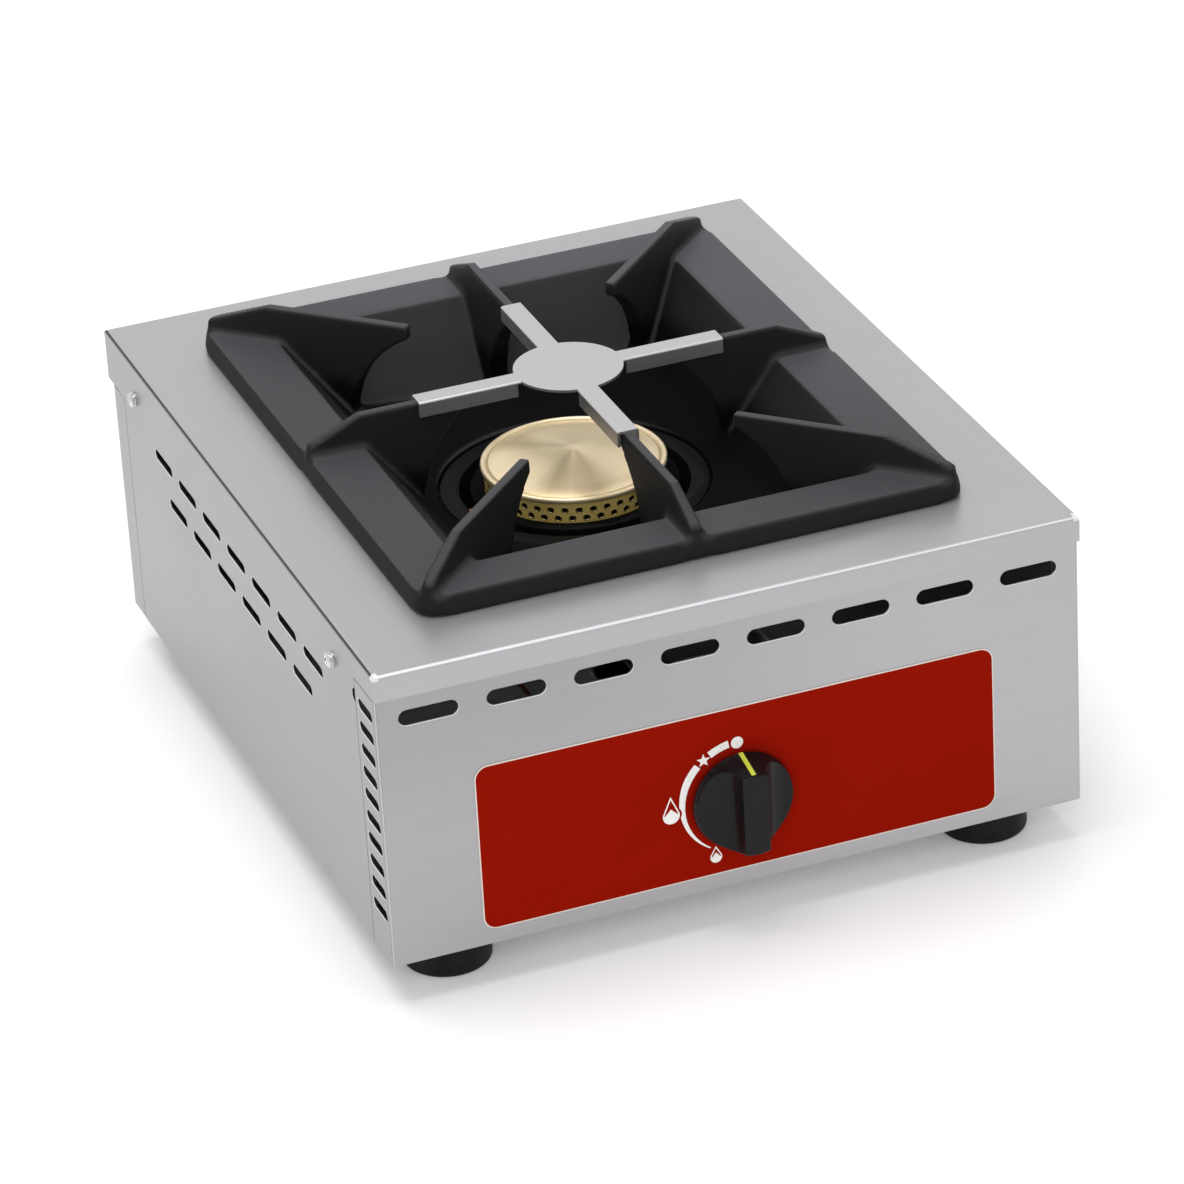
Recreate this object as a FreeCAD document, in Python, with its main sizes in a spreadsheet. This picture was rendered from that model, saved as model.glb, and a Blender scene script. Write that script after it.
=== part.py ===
import FreeCAD, Part
import math
import os
import Sketcher
from FreeCAD import Placement, Rotation, Vector

# Single-burner gas table stove. Millimetres, +Z up, front towards -Y.
# The origin is on the table, under the middle of the cover.

SIZES = {
    # Casing sheets
    "cover_width": 400,
    "cover_depth": 468,
    "casing_height": 174.5,
    "sheet_wall": 1.2,
    "bend_radius": 2.6,
    "lap_gap": 0.5,
    "front_rim": 15,
    "rear_rim": 31,
    "side_front_inset": 32,
    "side_rear_inset": 31,
    "rear_overhang": 8.5,
    "return_lap": 10,
    "panel_flange": 12,
    "base_flange": 14,
    "opening_gap": 15,
    "opening_corner": 14,
    "seam_notch_radius": 4,
    "seam_notch_drop": 25.7,
    # Cooling slots
    "front_slot_length": 33,
    "front_slot_width": 9,
    "front_slot_margin": 29.55,
    "front_slot_count": 8,
    "front_slot_drop": 28.4,
    "return_slot_length": 22,
    "return_slot_width": 6,
    "return_slot_pitch": 13.27,
    "return_slot_count": 10,
    "return_slot_drop": 27.3,
    "side_slot_length": 32,
    "side_slot_width": 6,
    "side_slot_pitch": 43.6,
    "side_slot_count": 7,
    "side_slot_drop": 40.7,
    "side_row_step": 21.9,
    "rear_slot_drop": 60,
    "base_slot_length": 90,
    "base_slot_width": 8,
    "base_slot_pitch": 34,
    "base_slot_count": 7,
    # Feet
    "foot_height": 25,
    "foot_diameter": 49,
    "foot_round": 3,
    "foot_inset_x": 42.5,
    "foot_inset_y": 40,
    "foot_recess_radius": 9,
    "foot_recess_depth": 9,
    "foot_screw_radius": 3,
    "foot_screw_head": 6.5,
    "foot_screw_head_height": 4.2,
    "foot_nut_radius": 5.8,
    "foot_nut_height": 5,
    # Small screws
    "screw_radius": 2,
    "screw_head_radius": 4.4,
    "screw_head_height": 2.4,
    "cover_head_height": 3.6,
    "screw_nut_radius": 4,
    "screw_nut_height": 3.2,
    "screw_tail": 3,
    "hole_clearance": 0.2,
    # Label and knob
    "label_width": 297,
    "label_height": 99,
    "label_thickness": 0.5,
    "label_corner": 8,
    "label_rise": 8.7,
    "knob_rise": 52.5,
    "knob_diameter": 57,
    "knob_face_diameter": 47.5,
    "knob_height": 20.3,
    "skirt_height": 4,
    "knob_travel": 2,
    "knob_end_gap": 0.4,
    "knob_bore_depth": 15,
    "grip_width": 14.6,
    "pointer_width": 2.6,
    "pointer_depth": 0.8,
    "pointer_end_gap": 2,
    # Gas tap
    "spindle_radius": 4,
    "spindle_hole_gap": 3,
    "spindle_flange_gap": 1.4,
    "spindle_flange_height": 2,
    "tongue_thickness": 3,
    "tongue_width": 8,
    "tongue_entry": 5,
    "tongue_gap": 0.2,
    "tongue_end_gap": 1,
    "spring_wall": 1.4,
    "spring_gap": 0.4,
    "bonnet_stand": 5,
    "bonnet_length": 20,
    "bonnet_wall": 4,
    "chamber_radius": 8.6,
    "valve_width": 40,
    "valve_height": 28,
    "valve_length": 40,
    "plug_radius": 9.5,
    "plug_end_radius": 7.8,
    "plug_length": 34,
    "running_fit": 0.05,
    "gas_bore_radius": 3,
    "outlet_length": 12,
    "outlet_radius": 8,
    "port_offset": 20,
    "inlet_boss_length": 14,
    "inlet_boss_radius": 10,
    "magnet_boss_length": 14,
    "magnet_boss_wall": 3,
    "magnet_radius": 9,
    "magnet_reach": 38,
    "bonnet_screw_offset": 15,
    "valve_screw_depth": 8,
    "bracket_sheet": 1.5,
    "bracket_width": 48,
    "bracket_rise": 30,
    # Gas pipes
    "feed_pipe_radius": 4,
    "feed_nut_radius": 8,
    "feed_nut_length": 10,
    "supply_pipe_radius": 6,
    "supply_bend": 20,
    "supply_nut_radius": 10.5,
    "supply_nut_length": 12,
    "pipe_wall": 1,
    "inlet_x": 75,
    "inlet_thread_radius": 10.48,
    "inlet_thread_length": 16,
    "inlet_nose_radius": 6.8,
    "inlet_hex_radius": 15,
    "inlet_hex_length": 10,
    "inlet_tail": 22,
    "inlet_bore_radius": 5,
    "locknut_length": 8,
    # Burner
    "bowl_flange_drop": 39.5,
    "bowl_ring_gap": 1.5,
    "gutter_width": 6.5,
    "bowl_depth": 33,
    "bowl_sheet": 1.2,
    "burner_rim_drop": 39,
    "burner_rim_width": 8,
    "burner_rim_height": 7,
    "burner_foot_radius": 40,
    "burner_wall": 5,
    "neck_radius": 20,
    "neck_gap": 0.5,
    "ring_nut_wall": 7,
    "ring_nut_height": 6,
    "mixer_radius": 17,
    "mixer_wall": 4,
    "mixer_length": 80,
    "mixer_end_flange": 4,
    "mixer_end_wall": 6,
    "air_window_length": 14,
    "air_window_height": 12,
    "air_window_setback": 6,
    "shutter_wall": 1.6,
    "shutter_length": 18,
    "shutter_gap": 0.35,
    "shutter_open": 10,
    "shutter_screw_radius": 2,
    "shutter_screw_height": 7,
    "injector_radius": 4.5,
    "injector_nose_radius": 3,
    "injector_nose_length": 10,
    "injector_hex_radius": 8,
    "injector_hex_length": 6,
    "holder_radius": 9,
    "holder_length": 16,
    "jet_radius": 1,
    "crown_radius": 50.5,
    "crown_wall": 3,
    "crown_height": 14,
    "crown_seat_depth": 2,
    "crown_gap": 0.4,
    "port_radius": 1.5,
    "port_count": 40,
    "port_upper_drop": 4.6,
    "port_row_step": 4.8,
    "cap_overhang": 1.5,
    "cap_edge": 3,
    "cap_rise": 7,
    "cap_lip": 3,
    "cap_groove": 0.9,
    "cap_thickness": 3,
    "cap_spigot_length": 4,
    "cap_spigot_wall": 2.4,
    # Burner carriers
    "rail_front_gap": 9,
    "rail_rear_gap": 24,
    "rail_screw_drop": 22,
    "rail_sheet": 1.5,
    "rail_height": 38,
    "rail_width": 19,
    "strap_width": 60,
    "strap_sheet": 2,
    "strap_leg_drop": 20,
    "strap_screw_spread": 20,
    "strap_screw_drop": 29,
    # Flame safety
    "probe_radius": 2,
    "probe_gap": 1.2,
    "probe_tip_drop": 43,
    "probe_collar_radius": 3.6,
    "probe_collar_height": 7,
    "lead_radius": 1.4,
    "lead_bend": 10,
    "lead_nut_radius": 6,
    "lead_nut_length": 6,
    # Cast grate
    "grate_side_margin": 43,
    "grate_end_margin": 45,
    "grate_corner": 14,
    "grate_draft": 2,
    "band_height": 12,
    "band_thickness": 6,
    "cast_wall": 6,
    "band_side_width": 35,
    "band_end_width": 32,
    "well_corner": 12,
    "well_slope": 52,
    "floor_slope": 8,
    "floor_drop": 38,
    "floor_hole_radius": 77,
    "finger_top": 31,
    "finger_end_height": 18,
    "finger_peak_inset": 33,
    "finger_width": 6,
    "finger_draft": 3,
    "finger_tip_depth": 7.5,
    "side_tip_radius": 62,
    "side_finger_run": 27,
    "side_finger_drop": 45,
    "side_finger_hollow": 5,
    "end_tip_radius": 82,
    "corner_finger_length": 96,
    "long_finger_run": 36,
    "long_finger_drop": 46,
    "long_finger_hollow": 7,
    # Small-pot cross
    "cross_disc_radius": 30.7,
    "cross_reach": 90,
    "cross_arm_width": 12.5,
    "cross_arm_height": 9,
    "cross_sheet": 1.5,
    "cross_bend": 1.2,
    "cross_relief": 1.5,
}

doc = FreeCAD.newDocument("table_stove")
sheet = doc.addObject("Spreadsheet::Sheet", "sizes")
for row, (alias, number) in enumerate(SIZES.items(), start=1):
    sheet.set(f"A{row}", alias)
    sheet.set(f"B{row}", str(number))
    sheet.setAlias(f"B{row}", alias)
doc.recompute()


class Size:
    """A length with its number and the sheet formula that gives it."""

    def __init__(self, value, text):
        self.value = value
        self.text = text

    @staticmethod
    def of(other):
        return other if isinstance(other, Size) else Size(float(other), repr(float(other)))

    def joined(self, sign, other, value):
        return Size(value, f"({self.text} {sign} {other.text})")

    def __add__(self, other):
        other = Size.of(other)
        return self.joined("+", other, self.value + other.value)

    def __sub__(self, other):
        other = Size.of(other)
        return self.joined("-", other, self.value - other.value)

    def __mul__(self, other):
        other = Size.of(other)
        return self.joined("*", other, self.value * other.value)

    def __truediv__(self, other):
        other = Size.of(other)
        return self.joined("/", other, self.value / other.value)

    def __radd__(self, other):
        return Size.of(other) + self

    def __rsub__(self, other):
        return Size.of(other) - self

    def __rmul__(self, other):
        return Size.of(other) * self

    def __rtruediv__(self, other):
        return Size.of(other) / self

    def __neg__(self):
        return Size(-self.value, f"(-{self.text})")


class Sheet:
    """Gives each cell of the sheet as a Size."""

    def __getattr__(self, alias):
        return Size(float(sheet.get(alias)), f"sizes.{alias}")


S = Sheet()
ZERO = Size.of(0)
ALONG = {
    "x": Rotation(Vector(0, 1, 0), 90),
    "y": Rotation(Vector(1, 0, 0), -90),
    "z": Rotation(),
}
nodes = {}


# Helpers: binding, placing and simple solids

def bind(item, name, size):
    """Binds one property of an object to the sheet."""
    item.setExpression(name, Size.of(size).text)


def place(item, x, y, z, turn=Rotation()):
    """Turns an object and binds its position."""
    item.Placement = Placement(Vector(), turn)
    for key, size in zip("xyz", (x, y, z)):
        bind(item, f"Placement.Base.{key}", size)


def keep(item, label):
    """Marks an object as the finished sub-part with this name."""
    item.Label = label
    nodes[label] = item
    return item


def block(x0, x1, y0, y1, z0, z1):
    """A box between six faces."""
    item = doc.addObject("Part::Box", "block")
    place(item, x0, y0, z0)
    bind(item, "Length", Size.of(x1) - x0)
    bind(item, "Width", Size.of(y1) - y0)
    bind(item, "Height", Size.of(z1) - z0)
    return item


def rod(radius, start, end, axis, x=ZERO, y=ZERO, z=ZERO):
    """A cylinder along one axis, from start to end; the other two places are its centre line."""
    item = doc.addObject("Part::Cylinder", "rod")
    spot = {"x": x, "y": y, "z": z, axis: start}
    place(item, spot["x"], spot["y"], spot["z"], ALONG[axis])
    bind(item, "Radius", radius)
    bind(item, "Height", Size.of(end) - start)
    return item


def taper(radius_start, radius_end, start, end, axis, x=ZERO, y=ZERO, z=ZERO):
    """A cone along one axis."""
    item = doc.addObject("Part::Cone", "taper")
    spot = {"x": x, "y": y, "z": z, axis: start}
    place(item, spot["x"], spot["y"], spot["z"], ALONG[axis])
    bind(item, "Radius1", radius_start)
    bind(item, "Radius2", radius_end)
    bind(item, "Height", Size.of(end) - start)
    return item


def hexagon(radius, start, end, axis, x=ZERO, y=ZERO, z=ZERO):
    """A six-sided prism along one axis."""
    item = doc.addObject("Part::Prism", "hexagon")
    spot = {"x": x, "y": y, "z": z, axis: start}
    place(item, spot["x"], spot["y"], spot["z"], ALONG[axis])
    item.Polygon = 6
    bind(item, "Circumradius", radius)
    bind(item, "Height", Size.of(end) - start)
    return item


def fuse(*items):
    """One solid out of several."""
    if len(items) == 1:
        return items[0]
    item = doc.addObject("Part::MultiFuse", "fuse")
    item.Shapes = list(items)
    item.Refine = True
    return item


def cut(base, *tools):
    """A solid with others taken away from it."""
    item = doc.addObject("Part::Cut", "cut")
    item.Base = base
    item.Tool = fuse(*tools)
    return item


def common(first, second):
    """What two solids share."""
    item = doc.addObject("Part::Common", "common")
    item.Base = first
    item.Tool = second
    return item


def group(*items):
    """Several loose solids in one sub-part."""
    item = doc.addObject("Part::Compound", "group")
    item.Links = list(items)
    return item


# Helpers: bodies, sketches and features

def new_body(label):
    """An empty body, kept as the sub-part with this name."""
    return keep(doc.addObject("PartDesign::Body", label), label)


def new_sketch(body, role, offset=ZERO):
    """A sketch on one of the body's own planes, moved along the plane's normal."""
    sketch = body.newObject("Sketcher::SketchObject", "sketch")
    plane = next(item for item in body.Origin.OriginFeatures if item.Role == role)
    sketch.AttachmentSupport = (plane, [""])
    sketch.MapMode = "FlatFace"
    bind(sketch, "AttachmentOffset.Base.z", offset)
    return sketch


def pin_point(sketch, geometry, point, u, v):
    """Binds a point of a sketch to two distances from the origin."""
    for kind, size in (("DistanceX", Size.of(u)), ("DistanceY", Size.of(v))):
        rule = Sketcher.Constraint(kind, -1, 1, geometry, point, size.value)
        bind(sketch, f"Constraints[{sketch.addConstraint(rule)}]", size)


def pin_radius(sketch, geometry, radius):
    """Binds the radius of a circle or an arc."""
    rule = Sketcher.Constraint("Radius", geometry, radius.value)
    bind(sketch, f"Constraints[{sketch.addConstraint(rule)}]", radius)


def draw_outline(sketch, points):
    """A closed outline of straight lines through points."""
    spots = [Vector(Size.of(u).value, Size.of(v).value, 0) for u, v in points]
    lines = [
        sketch.addGeometry(Part.LineSegment(spot, after))
        for spot, after in zip(spots, spots[1:] + spots[:1])
    ]
    for line, after in zip(lines, lines[1:] + lines[:1]):
        sketch.addConstraint(Sketcher.Constraint("Coincident", line, 2, after, 1))
    for line, (u, v) in zip(lines, points):
        pin_point(sketch, line, 1, u, v)


def draw_rectangle(sketch, u0, u1, v0, v1):
    """An upright rectangle between four sides."""
    draw_outline(sketch, [(u0, v0), (u1, v0), (u1, v1), (u0, v1)])


def draw_circle(sketch, u, v, radius):
    """A circle bound by its centre and radius."""
    centre = Vector(Size.of(u).value, Size.of(v).value, 0)
    geometry = sketch.addGeometry(Part.Circle(centre, Vector(0, 0, 1), radius.value))
    pin_point(sketch, geometry, 3, u, v)
    pin_radius(sketch, geometry, radius)


def draw_slot(sketch, u, v, length, width):
    """A level slot with round ends."""
    radius = width / 2
    half = (length - width) / 2
    centres = [Vector((u - half).value, Size.of(v).value, 0), Vector((u + half).value, Size.of(v).value, 0)]
    normal = Vector(0, 0, 1)
    turns = [(math.pi / 2, 3 * math.pi / 2), (-math.pi / 2, math.pi / 2)]
    left, right = [
        sketch.addGeometry(Part.ArcOfCircle(Part.Circle(centre, normal, radius.value), *turn))
        for centre, turn in zip(centres, turns)
    ]
    rise = Vector(0, radius.value, 0)
    lower = sketch.addGeometry(Part.LineSegment(centres[0] - rise, centres[1] - rise))
    upper = sketch.addGeometry(Part.LineSegment(centres[1] + rise, centres[0] + rise))
    for first, end, second, start in ((left, 2, lower, 1), (lower, 2, right, 1),
                                      (right, 2, upper, 1), (upper, 2, left, 1)):
        sketch.addConstraint(Sketcher.Constraint("Tangent", first, end, second, start))
    sketch.addConstraint(Sketcher.Constraint("Equal", left, right))
    pin_radius(sketch, left, radius)
    pin_point(sketch, left, 3, u - half, v)
    pin_point(sketch, right, 3, u + half, v)


def add_pad(body, sketch, length, reverse=False):
    """Thickens a sketch into the body."""
    pad = body.newObject("PartDesign::Pad", "pad")
    pad.Profile = sketch
    pad.Reversed = reverse
    bind(pad, "Length", length)
    return pad


def add_pocket(body, sketch, length=None, reverse=False):
    """Cuts a sketch out of the body: by a depth, or both ways right through."""
    pocket = body.newObject("PartDesign::Pocket", "pocket")
    pocket.Profile = sketch
    if length is None:
        pocket.Type = "ThroughAll"
        pocket.SideType = "Symmetric"
    else:
        pocket.Reversed = reverse
        bind(pocket, "Length", length)
    return pocket


def add_row(body, feature, direction, pitch, count, reverse=False):
    """Repeats a feature in a straight row along an axis of its sketch."""
    row_pattern = body.newObject("PartDesign::LinearPattern", "row")
    row_pattern.Originals = [feature]
    row_pattern.Direction = (feature.Profile[0], [direction])
    row_pattern.Reversed = reverse
    bind(row_pattern, "Length", pitch * (count - 1))
    bind(row_pattern, "Occurrences", count)
    body.Tip = row_pattern


def add_fillet(body, wanted, radius):
    """Rounds the edges of the body's last feature that a test picks."""
    doc.recompute()
    base = body.Tip
    names = [f"Edge{index}" for index, edge in enumerate(base.Shape.Edges, start=1) if wanted(edge)]
    fillet = body.newObject("PartDesign::Fillet", "fillet")
    fillet.Base = (base, names)
    bind(fillet, "Radius", radius)
    body.Tip = fillet


def turned(label, points, axis="z", x=ZERO, y=ZERO, z=ZERO):
    """A body turned from a closed outline of (radius, height) points about its own axis."""
    body = new_body(label)
    sketch = new_sketch(body, "XZ_Plane")
    draw_outline(sketch, points)
    revolution = body.newObject("PartDesign::Revolution", "turning")
    revolution.Profile = sketch
    revolution.ReferenceAxis = (sketch, ["V_Axis"])
    revolution.Angle = 360
    place(body, x, y, z, ALONG[axis])
    return body


def upright_edge(edge, x=None, y=None):
    """Whether an edge stands upright at this place."""
    first, last = edge.Vertexes[0].Point, edge.Vertexes[-1].Point
    upright = abs(first.z - last.z) > 1 and (first - last).Length - abs(first.z - last.z) < 1e-6
    at_x = x is None or abs(abs(first.x) - x.value) < 1e-4
    at_y = y is None or abs(first.y - y.value) < 1e-4
    return upright and at_x and at_y


def level_edge(edge, z):
    """Whether an edge lies at this height."""
    return all(abs(vertex.Z - z.value) < 1e-4 for vertex in edge.Vertexes)


def screw(axis, head, seat, tail, x=ZERO, y=ZERO, z=ZERO, radius=None, head_radius=None):
    """A headed screw: from the outer face of its head, over the seat, to its tail."""
    radius = radius or S.screw_radius
    head_radius = head_radius or S.screw_head_radius
    spot = {"x": x, "y": y, "z": z}
    ends = sorted((head, seat), key=lambda size: size.value)
    shank = sorted((head, tail), key=lambda size: size.value)
    return fuse(rod(head_radius, *ends, axis, **spot), rod(radius, *shank, axis, **spot))


def ring(outer, inner, start, end, axis, x=ZERO, y=ZERO, z=ZERO, six_sided=False):
    """A plain ring, or a nut."""
    shape = hexagon if six_sided else rod
    body = shape(outer, start, end, axis, x, y, z)
    hole = rod(inner, start - S.sheet_wall, Size.of(end) + S.sheet_wall, axis, x, y, z)
    return cut(body, hole)


# Shared places

half_width = S.cover_width / 2
half_depth = S.cover_depth / 2
casing_bottom = S.foot_height
cover_top = S.foot_height + S.casing_height
cover_under = cover_top - S.sheet_wall
side_inner = half_width - S.sheet_wall
panel_side = side_inner - S.lap_gap
panel_side_inner = panel_side - S.sheet_wall
panel_front = half_depth - S.sheet_wall - S.lap_gap
front_inner = panel_front - S.sheet_wall
panel_rear = half_depth - S.rear_overhang
rear_inner = panel_rear - S.sheet_wall
side_front_edge = half_depth - S.side_front_inset
side_rear_edge = half_depth - S.side_rear_inset
base_top = casing_bottom + S.sheet_wall
knob_level = casing_bottom + S.knob_rise
knob_gap = S.knob_travel + S.knob_end_gap
front_slot_pitch = (S.cover_width - S.front_slot_margin * 2) / (S.front_slot_count - 1)
grate_width = S.cover_width - S.grate_side_margin * 2
grate_depth = S.cover_depth - S.grate_end_margin * 2
well_width = grate_width - S.band_side_width * 2
well_depth = grate_depth - S.band_end_width * 2
rail_front_place = well_depth / 2 + S.rail_front_gap
rail_rear_place = well_depth / 2 + S.rail_rear_gap
screw_hole = S.screw_radius + S.hole_clearance
rail_screw_level = cover_top - S.rail_screw_drop
strap_top = cover_top - S.bowl_flange_drop - S.bowl_depth - S.bowl_sheet
strap_under = strap_top - S.strap_sheet
foot_x = half_width - S.foot_inset_x
foot_y = half_depth - S.foot_inset_y
rear_screw_level = casing_bottom + S.base_flange / 2
rear_screw_spread = half_width - S.foot_inset_x
MARGIN = S.sheet_wall * 2


# Casing

def make_cover():
    """The lid: top, both sides and the two rims of one folded sheet."""
    body = new_body("hob_cover")
    outside = new_sketch(body, "XY_Plane", casing_bottom)
    draw_rectangle(outside, -half_width, half_width, -half_depth, half_depth)
    add_pad(body, outside, S.casing_height)
    add_fillet(body, lambda edge: level_edge(edge, cover_top), S.bend_radius)
    inside = new_sketch(body, "XY_Plane", casing_bottom)
    inner_depth = half_depth - S.sheet_wall
    draw_rectangle(inside, -side_inner, side_inner, -inner_depth, inner_depth)
    add_pocket(body, inside, S.casing_height - S.sheet_wall, reverse=True)
    ends = (
        (-half_depth - MARGIN, -side_front_edge, S.front_rim),
        (side_rear_edge, half_depth + MARGIN, S.rear_rim),
    )
    for near, far, rim in ends:
        end_cut = new_sketch(body, "YZ_Plane")
        draw_rectangle(end_cut, near, far, casing_bottom - MARGIN, cover_top - rim)
        add_pocket(body, end_cut)
    opening = new_sketch(body, "XY_Plane", cover_top)
    opening_x = well_width / 2 + S.opening_gap
    opening_y = well_depth / 2 + S.opening_gap
    draw_rectangle(opening, -opening_x, opening_x, -opening_y, opening_y)
    add_pocket(body, opening, MARGIN)
    add_fillet(body, lambda edge: upright_edge(edge, opening_x) and abs(edge.Vertexes[0].Y) < foot_y.value,
               S.opening_corner)
    holes = new_sketch(body, "YZ_Plane")
    draw_circle(holes, -rail_front_place, rail_screw_level, screw_hole)
    draw_circle(holes, rail_rear_place, rail_screw_level, screw_hole)
    draw_circle(holes, -side_front_edge, cover_top - S.seam_notch_drop, S.seam_notch_radius)
    add_pocket(body, holes)
    for index, missing in enumerate((0, 1)):
        count = S.side_slot_count - missing
        slots = new_sketch(body, "YZ_Plane")
        level = cover_top - S.side_slot_drop - S.side_row_step * index
        start = -(S.side_slot_pitch * (count - 1)) / 2
        draw_slot(slots, start, level, S.side_slot_length, S.side_slot_width)
        add_row(body, add_pocket(body, slots), "H_Axis", S.side_slot_pitch, count)


def make_wrapped_panel(label, face, seam, rim, toward):
    """A panel with a flange under the cover and a return round each side. toward is -1 in front.

    The returns lie level with the cover's sides, and step in by a sheet to pass under the cover's edges.
    """
    body = new_body(label)
    face_y = face * toward
    inner_y = (face - S.sheet_wall) * toward
    step_y = (seam + S.lap_gap) * toward
    step_inner_y = (seam + S.lap_gap + S.sheet_wall) * toward
    end_y = (seam - S.return_lap) * toward
    return_top = cover_top - rim - S.lap_gap
    under_rim = new_sketch(body, "XY_Plane", return_top)
    draw_outline(under_rim, [
        (-panel_side, end_y), (-panel_side, face_y), (panel_side, face_y), (panel_side, end_y),
        (panel_side_inner, end_y), (panel_side_inner, inner_y),
        (-panel_side_inner, inner_y), (-panel_side_inner, end_y),
    ])
    add_pad(body, under_rim, cover_under - return_top)
    add_fillet(body, lambda edge: upright_edge(edge, panel_side, face_y), S.bend_radius)
    outline = new_sketch(body, "XY_Plane", casing_bottom)
    draw_outline(outline, [
        (-panel_side, end_y), (-panel_side, step_y), (-half_width, step_y), (-half_width, face_y),
        (half_width, face_y), (half_width, step_y), (panel_side, step_y), (panel_side, end_y),
        (panel_side_inner, end_y), (panel_side_inner, step_inner_y),
        (side_inner, step_inner_y), (side_inner, inner_y),
        (-side_inner, inner_y), (-side_inner, step_inner_y),
        (-panel_side_inner, step_inner_y), (-panel_side_inner, end_y),
    ])
    add_pad(body, outline, return_top - casing_bottom)
    shelf = new_sketch(body, "XY_Plane", return_top)
    near, far = sorted((step_inner_y, inner_y), key=lambda size: size.value)
    draw_rectangle(shelf, panel_side_inner, side_inner, near, far)
    draw_rectangle(shelf, -side_inner, -panel_side_inner, near, far)
    add_pad(body, shelf, S.sheet_wall, reverse=True)
    add_fillet(body, lambda edge: upright_edge(edge, half_width, face_y), S.bend_radius)
    flange = new_sketch(body, "XY_Plane", cover_under)
    near, far = sorted((inner_y, inner_y - S.panel_flange * toward), key=lambda size: size.value)
    draw_rectangle(flange, -panel_side_inner, panel_side_inner, near, far)
    add_pad(body, flange, S.sheet_wall, reverse=True)
    return body


def make_front_panel():
    """The front: face slots, slotted returns and the spindle hole."""
    body = make_wrapped_panel("front_panel", panel_front, side_front_edge, S.front_rim, -1)
    slots = new_sketch(body, "XZ_Plane", panel_front + MARGIN)
    start = -(front_slot_pitch * (S.front_slot_count - 1)) / 2
    draw_slot(slots, start, cover_top - S.front_slot_drop, S.front_slot_length, S.front_slot_width)
    add_row(body, add_pocket(body, slots, MARGIN * 2), "H_Axis", front_slot_pitch, S.front_slot_count)
    returns = new_sketch(body, "YZ_Plane")
    strip_middle = -(panel_front + side_front_edge) / 2
    draw_slot(returns, strip_middle, cover_top - S.return_slot_drop,
              S.return_slot_length, S.return_slot_width)
    add_row(body, add_pocket(body, returns), "V_Axis", S.return_slot_pitch, S.return_slot_count, reverse=True)
    hole = new_sketch(body, "XZ_Plane", panel_front + MARGIN)
    draw_circle(hole, ZERO, knob_level, S.spindle_radius + S.spindle_hole_gap)
    add_pocket(body, hole, MARGIN * 2)


def make_rear_panel():
    """The back: a row of slots, the gas inlet hole and three screw holes."""
    body = make_wrapped_panel("rear_panel", panel_rear, side_rear_edge, S.rear_rim, 1)
    slots = new_sketch(body, "XZ_Plane", -rear_inner + MARGIN)
    start = -(front_slot_pitch * (S.front_slot_count - 1)) / 2
    draw_slot(slots, start, cover_top - S.rear_slot_drop, S.front_slot_length, S.front_slot_width)
    add_row(body, add_pocket(body, slots, MARGIN * 2), "H_Axis", front_slot_pitch, S.front_slot_count)
    holes = new_sketch(body, "XZ_Plane", -rear_inner + MARGIN)
    draw_circle(holes, S.inlet_x, knob_level, S.inlet_thread_radius + S.hole_clearance)
    for x in (-rear_screw_spread, ZERO, rear_screw_spread):
        draw_circle(holes, x, rear_screw_level, screw_hole)
    add_pocket(body, holes, MARGIN * 2)


def make_base():
    """The bottom sheet with two upturned flanges, foot holes and air slots."""
    body = new_body("base_plate")
    floor = new_sketch(body, "XY_Plane", casing_bottom)
    draw_rectangle(floor, -panel_side_inner, panel_side_inner, -front_inner, rear_inner)
    add_pad(body, floor, S.sheet_wall)
    for near, far in ((-front_inner, S.sheet_wall - front_inner), (rear_inner - S.sheet_wall, rear_inner)):
        flange = new_sketch(body, "XY_Plane", casing_bottom)
        draw_rectangle(flange, S.bend_radius - panel_side_inner, panel_side_inner - S.bend_radius, near, far)
        add_pad(body, flange, S.base_flange)
    holes = new_sketch(body, "XY_Plane", base_top + MARGIN)
    for x in (-foot_x, foot_x):
        for y in (-foot_y, foot_y):
            draw_circle(holes, x, y, S.foot_screw_radius + S.hole_clearance)
    add_pocket(body, holes, MARGIN * 2)
    slots = new_sketch(body, "XY_Plane", base_top + MARGIN)
    start = -(S.base_slot_pitch * (S.base_slot_count - 1)) / 2
    draw_slot(slots, ZERO, start, S.base_slot_length, S.base_slot_width)
    add_row(body, add_pocket(body, slots, MARGIN * 2), "V_Axis", S.base_slot_pitch, S.base_slot_count)
    screws = new_sketch(body, "XZ_Plane", MARGIN - rear_inner + S.sheet_wall)
    for x in (-rear_screw_spread, ZERO, rear_screw_spread):
        draw_circle(screws, x, rear_screw_level, screw_hole)
    add_pocket(body, screws, MARGIN * 2)


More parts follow.
